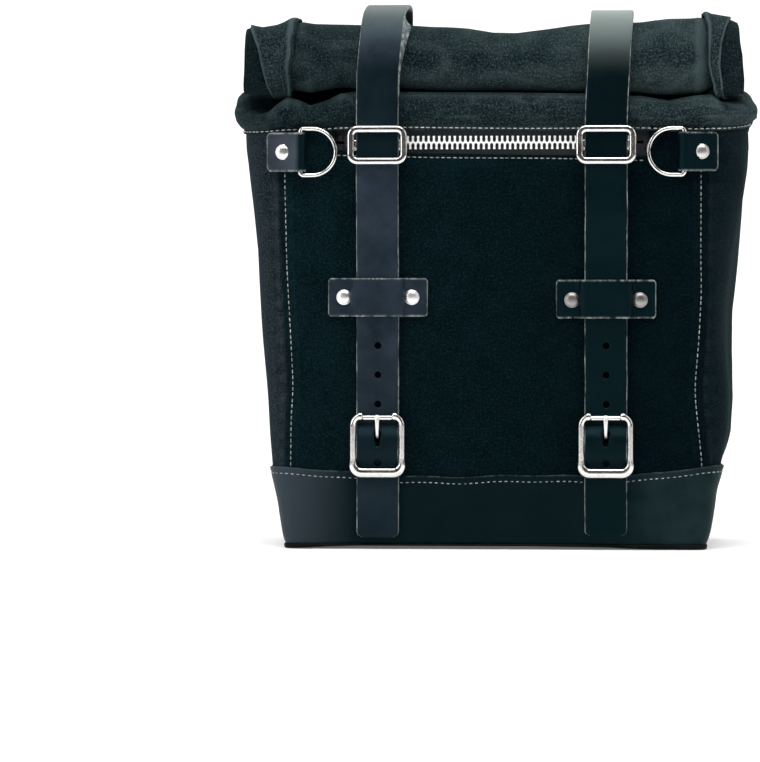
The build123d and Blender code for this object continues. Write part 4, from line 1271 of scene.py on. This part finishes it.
def make_tab(side, label):
    """Leather folded round the D-ring's bar and riveted."""
    bar, wrap, bar_ahead = RING_BAR_X, 2.75, 4.6
    angles = np.radians(np.linspace(-270, -90, 13))
    loop = [(bar + wrap * math.cos(a), ahead(bar_ahead - wrap * math.sin(a))) for a in angles]
    back = [(TAB_END_X - k * 2.0, ahead(1.3)) for k in range(10)]
    front = [(bar + 5.0 + k * 1.5, ahead(3.7 + 1.9 * (1 - smooth_step(k, 0, 4.5)))) for k in range(12)]
    path = np.array(back + loop + [(bar + 2.4, ahead(6.9))] + front)
    path[:, 0] *= side
    return profile_sheet(f"leather_tab_{label}", path, RING_Z, TAB_HEIGHT, 1.9, TAB_LEATHER[label],
                         f"d_ring_tab_{label}", corner=2.4)


def rivet_profile():
    """A flat rim with a domed cap, as (radius, height)."""
    size, step_up = RIVET_RADIUS, 0.62
    rim = [(size * 0.97, -0.35), (size, 0.15), (size * 0.985, 0.45), (size * 0.9, step_up)]
    turns = np.linspace(0, math.pi / 2, 9)[:-1]
    cap = [(size * 0.86 * math.cos(a), step_up + (RIVET_DOME - step_up) * math.sin(a)) for a in turns]
    return rim + cap + [(0.05, RIVET_DOME)]


def make_rivets(name, places, y_face, outward, node=None, material=rivet_nickel):
    """Rivets at places (x, z), standing on y_face."""
    parts = [lathe(rivet_profile(), (x, y_face, z), (0, outward, 0), 36) for x, z in places]
    return solid_piece(name, parts, material, node=node)


# ====================================================================================================
# Metal hardware
# ====================================================================================================
def loop_path(half_w, half_h, radius, centre, step=1.2):
    """Closed rounded rectangle in the front plane, as 3-D points at y of centre."""
    points = []
    for sx, sz, start in ((1, 1, 0), (-1, 1, 90), (-1, -1, 180), (1, -1, 270)):
        corner_x, corner_z = sx * (half_w - radius), sz * (half_h - radius)
        for k in range(9):
            a = math.radians(start + 90 * k / 8)
            points.append((corner_x + radius * math.cos(a), corner_z + radius * math.sin(a)))
    closed = points + [points[0]]
    dense = []
    for a, b in zip(closed, closed[1:]):
        count = max(1, int(math.dist(a, b) / step))
        for k in range(count):
            f = k / count
            dense.append((a[0] + f * (b[0] - a[0]), a[1] + f * (b[1] - a[1])))
    return [(centre[0] + x, centre[1], centre[2] + z) for x, z in dense]


def cross_bar(cx, half, away, z, half_section, sides, power):
    """A level bar, half to each side of cx. half_section is half its height and half its depth."""
    path = [(cx - half + k * half / 5, ahead(away), z) for k in range(11)]
    return sweep_bar(path, *half_section, (0, 1, 0), False, sides, power)


def lug_pair(cx, out, aways, z, half_section, sides):
    """Two short legs at out to each side of cx that join a centre bar to the loop ahead of it."""
    paths = [[(cx + s * out, ahead(away), z) for away in aways] for s in (-1, 1)]
    return [sweep_bar(path, *half_section, (0, 0, 1), False, sides, 3.0) for path in paths]


def make_slide(side, label):
    """Cast slide: rounded front loop, with the centre bar behind the strap."""
    cx = side * STRAP_X
    outer_w, outer_h, stock = 38.2, 24.8, 4.5
    path = loop_path((outer_w - stock) / 2, (outer_h - stock) / 2, 4.4, (cx, ahead(10.85), SLIDE_Z))
    parts = [sweep_bar(path, stock / 2, 1.6, (0, 1, 0), True, 16, 2.6),
             cross_bar(cx, 17.2, 4.95, SLIDE_Z, (3.4, 0.75), 14, 3.0)]
    parts += lug_pair(cx, 16.75, (4.3, 5.5, 7.0, 8.5, 10.0), SLIDE_Z, (1.9, 3.3), 14)
    slide = f"strap_slide_{label}"
    return solid_piece(f"metal_slide_{label}", parts, nickel, slide, slide)


def buckle_outline(gap, half_w, half_h, foot_h, corner):
    """The frame's middle line as (x, z), from one side of the gap at its top round to the other."""
    points = [(gap, half_h)]
    for sx, sz, start in ((1, 1, 90), (1, -1, 0), (-1, -1, -90), (-1, 1, -180)):
        corner_x = sx * (half_w - corner)
        corner_z = half_h - corner if sz > 0 else -(foot_h - corner)
        for k in range(10):
            a = math.radians(start - 90 * k / 9)
            points.append((corner_x + corner * math.cos(a), corner_z + corner * math.sin(a)))
    points.append((-gap, half_h))
    dense = [points[0]]
    for a, b in zip(points, points[1:]):
        count = max(1, int(math.dist(a, b) / 1.3))
        for k in range(1, count + 1):
            dense.append((a[0] + (b[0] - a[0]) * k / count, a[1] + (b[1] - a[1]) * k / count))
    return np.array(dense)


def make_buckle(side, label):
    """Frame open at the top, where its two swollen ends hold the roller's rod."""
    cx, gap = side * STRAP_X, 9.3
    local = buckle_outline(gap, 15.55, 18.3, 17.7, 5.6)
    path = [(cx + x, ahead(ROD_AHEAD), BUCKLE_Z + z) for x, z in local]
    out, up = np.abs(local[:, 0]), local[:, 1]
    low = smooth_step(-up, 9, 17)
    eye = smooth_step(up, 12, 17.5) * smooth_step(-out, -14, -10)
    end = np.clip(smooth_step(out, gap, gap + 1.4) * (up > 17) + (up <= 17), 0, 1)
    half = (1.95 + 1.2 * low + 0.9 * eye) * (0.72 + 0.28 * end)
    deep = (1.85 + 0.5 * eye) * (0.75 + 0.25 * end)
    parts = [sweep_bar(path, half, deep, (0, 1, 0), False, 16, 2.3),
             cross_bar(cx, 11, ROD_AHEAD, BUCKLE_Z + ROD_RISE, (0.9, 0.9), 12, 2.0),
             cross_bar(cx, 16.2, BAR_AHEAD, BUCKLE_Z, (1.55, 1.55), 14, 2.0)]
    parts += lug_pair(cx, 15.5, (2.6, 4.0, 5.5, 7.0), BUCKLE_Z, (1.3, 2.6), 12)
    return solid_piece(f"metal_buckle_{label}", parts, nickel, node=f"buckle_frame_{label}")


def make_prong(side, label):
    """Eye round the bar, then an arm that widens from the strap's hole to its tip on the roller."""
    cx = side * STRAP_X
    eye = [(2.0, -1.25), (2.6, -1.1), (2.6, 1.1), (2.0, 1.25)]
    # (distance ahead of the canvas, height above the bar, half width)
    arm = [(4.9, 1.2, 0.9), (7.2, 3.7, 0.9), (9.2, 6.2, 0.9), (10.4, 8.2, 1.0), (10.9, 11.0, 1.1),
           (11.0, 14.0, 1.25), (10.9, 17.0, 1.5), (10.5, 19.2, 1.3)]
    path = [(cx, ahead(away), BUCKLE_Z + up) for away, up, _ in arm]
    parts = [lathe(eye, (cx, ahead(BAR_AHEAD), BUCKLE_Z), (1, 0, 0), 24),
             sweep_bar(path, [half for _, _, half in arm], 0.85, (0, 1, 0), False, 16, 2.0)]
    prong = f"buckle_prong_{label}"
    return solid_piece(f"metal_prong_{label}", parts, cast_nickel, prong, prong)


def make_chape(side, label):
    """Leather tab that comes up from the boot and folds round the buckle's bar, with a slot for the prong."""
    cx, half, wrap = side * STRAP_X, 12.4, 2.45
    loop = [(ahead(BAR_AHEAD + wrap * math.sin(a)), BUCKLE_Z + wrap * math.cos(a))
            for a in np.radians(np.linspace(-75, 200, 15))]
    path = [(ahead(1.25), z) for z in (48, 52, 56, 60, 63)] + loop
    points = np.array([[(cx + x, y, z) for y, z in path] for x in np.linspace(-half, half, 12)])
    rim = np.zeros(points.shape[:2])
    rim[0] = rim[-1] = 1
    keep = np.ones((points.shape[0] - 1, points.shape[1] - 1), bool)
    slot_column, slot_from = 5, 4
    keep[slot_column, slot_from:] = False
    faces = [f for f, kept in zip(grid_faces(*points.shape[:2]), keep.ravel()) if kept]
    uvs = grid_lengths(points)
    piece = make_piece(f"leather_chape_{label}", points, faces, LEATHER[label], "bag", uvs, rim)
    thicken(piece, 1.5, 0.0, 0.3)
    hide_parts(f"buckle_chape_{label}")
    return piece


# ---- zip --------------------------------------------------------------------------------------------
def make_zip():
    """Two strips of tape a little behind the canvas, and two rows of teeth set half a pitch apart."""
    for label, low, high in (("upper", 259.7, 270.8), ("lower", 246.6, 258.1)):
        x, z = np.meshgrid(spaced(-101, 101, 3.0), spaced(low, high, 1.4))
        y = ahead(-2.5) + 0.25 * np.sin(x / 9.0)
        cloth_piece(f"zip_weave_{label}", np.stack([x, y, z], -1), tape_black, [f"zip_tape_{label}"],
                    thickness=0.9, uvs=np.stack([x, z], -1))
    for label, side, shift in (("upper", 1, 0), ("lower", -1, TOOTH_PITCH / 2)):
        parts = [tooth(FIRST_TOOTH + shift + number * TOOTH_PITCH, side) for number in range(TEETH)]
        piece = solid_piece(f"zip_row_{label}", parts, zip_nickel, node=f"zip_teeth_{label}")
        bevel = piece.modifiers.new("edges", "BEVEL")
        bevel.width = 0.22 * MM
        bevel.segments = 2


def tooth(x, side):
    """One metal tooth: clamped legs, a slim waist and a wide rounded head that passes the middle. A parted
    tooth stops short of the middle, which leaves the slider's web room at the end of its run."""
    outline = [(0.45, -0.42), (0.86, -0.18), (1.02, 0.35), (0.9, 0.95), (0.62, 1.5), (0.6, 2.3), (0.72, 3.2),
               (0.8, 4.0), (0.62, 4.25)]
    if x > PARTED_FROM:
        outline = [(w, 0.80 + 0.80 * h) for w, h in outline]
    ring = outline + [(-w, h) for w, h in reversed(outline)]
    verts = [(x + w, y, ZIP_Z + side * h) for y in (ahead(-1.25), ahead(-4.7)) for w, h in ring]
    count = len(ring)
    faces = [tuple(range(count)), tuple(range(2 * count - 1, count - 1, -1))]
    for k in range(count):
        n = (k + 1) % count
        faces.append((k, n, count + n, count + k))
    return verts, faces


# ---- back of the bag ----------------------------------------------------------------------------------
def outline_stitches(name, middle_z, half_size):
    """A row of stitches just inside the edge of a patch on the back."""
    inset = 4
    half_w, half_h = half_size
    centre = (0, BACK_Y + PATCH_GAP + PATCH_THICK, middle_z)
    path = loop_path(half_w - inset, half_h - inset, PATCH_CORNER - inset, centre, 1.5)
    path = np.array(path + [path[0]])
    stitches(name, path, np.tile([0.0, 1.0, 0.0], (len(path), 1)))


def make_back_leather():
    back_plate("leather_yoke", YOKE_Z, YOKE_HALF, "back_yoke")
    back_plate("leather_lower_patch", PATCH_Z, PATCH_HALF, "lower_patch")
    outline_stitches("stitches_yoke", YOKE_Z, YOKE_HALF)
    outline_stitches("stitches_lower_patch", PATCH_Z, PATCH_HALF)


def make_rack_loop(name, node, x, tube_z, tail_z):
    """Leather loop round the rack's tube with its tail riveted to the yoke or the patch."""
    radius = LOOP_BORE + LOOP_LEATHER / 2
    centre_y = LOOP_Y + LOOP_BORE + LOOP_LEATHER
    up, step = (1 if tube_z > tail_z else -1), 2.0
    count = int(abs(tube_z - tail_z) / step)
    tail = [(LOOP_Y + LOOP_LEATHER / 2, tail_z + up * k * step) for k in range(count)]
    ring = [(centre_y - radius * math.cos(a), tube_z + up * radius * math.sin(a))
            for a in np.radians(np.linspace(0, 338, 44))]
    place = seen_from_side(np.array(tail + ring), x)
    return strip(name, place, LOOP_WIDTH, LOOP_LEATHER, leather_right_shaded, node, corner=2.5, seed=x)


# ====================================================================================================
# Assemble
# ====================================================================================================
make_front_panel()
make_gusset(-1, "side_gusset_left")
make_gusset(1, "side_gusset_right")
make_back_panel()
shoulder_grid = make_shoulder()
make_roll()
make_roll_band("canvas_band_left", LEFT_BAND_OUT, LEFT_BAND_IN)
make_roll_band("canvas_band_right", RIGHT_BAND_OUT, RIGHT_BAND_IN)
make_roll_flank("canvas_flank_left", LEFT_BAND_OUT, LEFT_FLANK)
make_roll_flank("canvas_flank_right", RIGHT_BAND_OUT, RIGHT_FLANK)
make_neck_fold(-1, "neck_fold_left")
make_neck_fold(1, "neck_fold_right")
make_boot()
make_sole()
make_stitching(shoulder_grid)
for strap_side, strap_label in SIDES:
    make_strap(strap_side, strap_label)
    make_keeper(strap_side, strap_label)
    make_tab(strap_side, strap_label)
    make_slide(strap_side, strap_label)
    make_buckle(strap_side, strap_label)
    make_prong(strap_side, strap_label)
    make_chape(strap_side, strap_label)
make_zip()
KEEPER_RIVETS = {"left": ("keeper_rivets", rivet_nickel), "right": (None, dull_nickel)}
for strap_side, strap_label in SIDES:
    rivet_node, rivet_metal = KEEPER_RIVETS[strap_label]
    rivet_z = KEEPER_Z - KEEPER_RIVET_DROP[strap_label]
    keeper_places = [(strap_side * STRAP_X + d, rivet_z) for d in (-KEEPER_RIVET, KEEPER_RIVET)]
    make_rivets(f"metal_keeper_rivets_{strap_label}", keeper_places, ahead(2.3), -1, rivet_node, rivet_metal)
make_rivets("metal_ring_rivet_left", [(-RING_RIVET_X, RING_Z)], ahead(4.6), -1, "d_ring_rivets")
make_rivets("metal_ring_rivet_right", [(RING_RIVET_X, RING_Z)], ahead(4.6), -1, None, satin_nickel)
make_back_leather()
make_rack_loop("leather_loop_left", "rack_loop_left", -LOOP_X, *UPPER_LOOP)
make_rack_loop("leather_loop_right", "rack_loop_right", LOOP_X, *UPPER_LOOP)
make_rack_loop("leather_loop_lower", "rack_loop_lower", 0.0, *LOWER_LOOP)
loop_places = [(side * LOOP_X, z) for side, _ in SIDES for z in UPPER_LOOP_RIVETS]
loop_places += [(0.0, z) for z in LOWER_LOOP_RIVETS]
make_rivets("metal_loop_rivets", loop_places, LOOP_Y + LOOP_LEATHER, 1, "rack_loop_rivets")
anchor_places = [(side * STRAP_X, z) for side, _ in SIDES for z in ANCHOR_RIVETS]
make_rivets("metal_anchor_rivets", anchor_places, BACK_Y + STRAP_REAR + STRAP_THICK, 1, "strap_anchor_rivets")


def dress(node, material):
    """Gives a carried-over CAD node its material."""
    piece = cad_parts[node]
    piece.data.materials.clear()
    piece.data.materials.append(material)


KEPT_NODES = {
    nickel: ["d_ring_left", "d_ring_right", "buckle_roller_left", "buckle_roller_right"],
    zip_nickel: ["zip_pull"],
    dark_metal: ["zip_slider", "zip_end_stops"],
    lining_grey: ["front_wall", "inner_liner", "bottom_panel"],
    board_plastic: ["base_board", "back_board", "roll_stay"],
}
for kept_material, kept_nodes in KEPT_NODES.items():
    for kept_node in kept_nodes:
        dress(kept_node, kept_material)


# ====================================================================================================
# Floor, light, camera
# ====================================================================================================
def make_floor():
    """A pale floor just under the sole."""
    half, below = 1.6, 0.0004
    verts = [(x, y, -below) for y in (-half, half) for x in (-half, half)]
    mesh = bpy.data.meshes.new("studio_floor")
    mesh.from_pydata(verts, [], [(0, 1, 3, 2)])
    floor = bpy.data.objects.new("studio_floor", mesh)
    bpy.context.scene.collection.objects.link(floor)
    floor.data.materials.append(floor_material())


def softbox(name, place, target, width, height, power):
    light = bpy.data.lights.new(name, "AREA")
    light.shape = "RECTANGLE"
    light.size, light.size_y = width, height
    light.energy = power
    lamp = bpy.data.objects.new(name, light)
    bpy.context.scene.collection.objects.link(lamp)
    lamp.location = place
    lamp.rotation_euler = (Vector(target) - Vector(place)).to_track_quat("-Z", "Y").to_euler()


def make_world():
    """White studio all round and above, with a dark space low in front, where the camera stands."""
    world = bpy.data.worlds.new("white_studio")
    world.use_nodes = True
    tree = world.node_tree

    def add(kind, settings=None):
        made = tree.nodes.new("ShaderNode" + kind)
        for key, value in (settings or {}).items():
            setattr(made, key, value)
        return made

    direction = add("TexCoord")
    split = add("SeparateXYZ")
    tree.links.new(direction.outputs["Generated"], split.inputs[0])
    tree.nodes["Background"].inputs["Color"].default_value = rgb(1, 1, 1)
    ahead_of = add("MapRange", {"interpolation_type": "SMOOTHSTEP"})
    above = add("MapRange", {"interpolation_type": "SMOOTHSTEP"})
    for made, output, low, high in ((ahead_of, 1, -0.45, 0.05), (above, 2, 0.5, 1.3)):
        tree.links.new(split.outputs[output], made.inputs["Value"])
        made.inputs["From Min"].default_value = low
        made.inputs["From Max"].default_value = high
    brighter = add("Math", {"operation": "MAXIMUM"})
    tree.links.new(ahead_of.outputs[0], brighter.inputs[0])
    tree.links.new(above.outputs[0], brighter.inputs[1])
    strength = add("MapRange")
    tree.links.new(brighter.outputs[0], strength.inputs["Value"])
    strength.inputs["To Min"].default_value = 0.06
    strength.inputs["To Max"].default_value = 1.2
    tree.links.new(strength.outputs[0], tree.nodes["Background"].inputs["Strength"])
    bpy.context.scene.world = world


VIEW_WIDTH = 486.4             # of the picture, measured on the bag's front
SENSOR_WIDTH = 36.0
CAMERA_DISTANCE, CAMERA_HEIGHT = 2.6, 0.175   # in metres
CAMERA_AZIMUTH = 2.0           # in degrees
AIM = Vector((-71.4, FRONT_Y, 106.9)) * MM


def make_camera():
    """Long lens from the front, a little to the right, level with the middle of the bag."""
    data = bpy.data.cameras.new("camera")
    camera = bpy.data.objects.new("camera", data)
    bpy.context.scene.collection.objects.link(camera)
    turn = math.radians(CAMERA_AZIMUTH)
    middle = Vector((0.0, FRONT_Y * MM, CAMERA_HEIGHT))
    camera.location = middle + Vector((math.sin(turn), -math.cos(turn), 0.0)) * CAMERA_DISTANCE
    sight = AIM - camera.location
    camera.rotation_euler = sight.to_track_quat("-Z", "Y").to_euler()
    data.sensor_width = SENSOR_WIDTH
    data.lens = SENSOR_WIDTH * sight.length / (VIEW_WIDTH * MM)
    data.clip_end = 60.0
    bpy.context.scene.camera = camera


bpy.context.scene.view_settings.view_transform = "Standard"
make_floor()
make_world()
softbox("top_light", (0.0, -0.85, 1.6), (0, 0, 0.25), 1.5, 0.9, 26)
softbox("left_light", (-1.5, -1.3, 0.8), (0, 0, 0.15), 0.8, 1.3, 12)
softbox("right_light", (1.6, -1.1, 0.9), (0, 0, 0.15), 0.6, 1.2, 4)
make_camera()
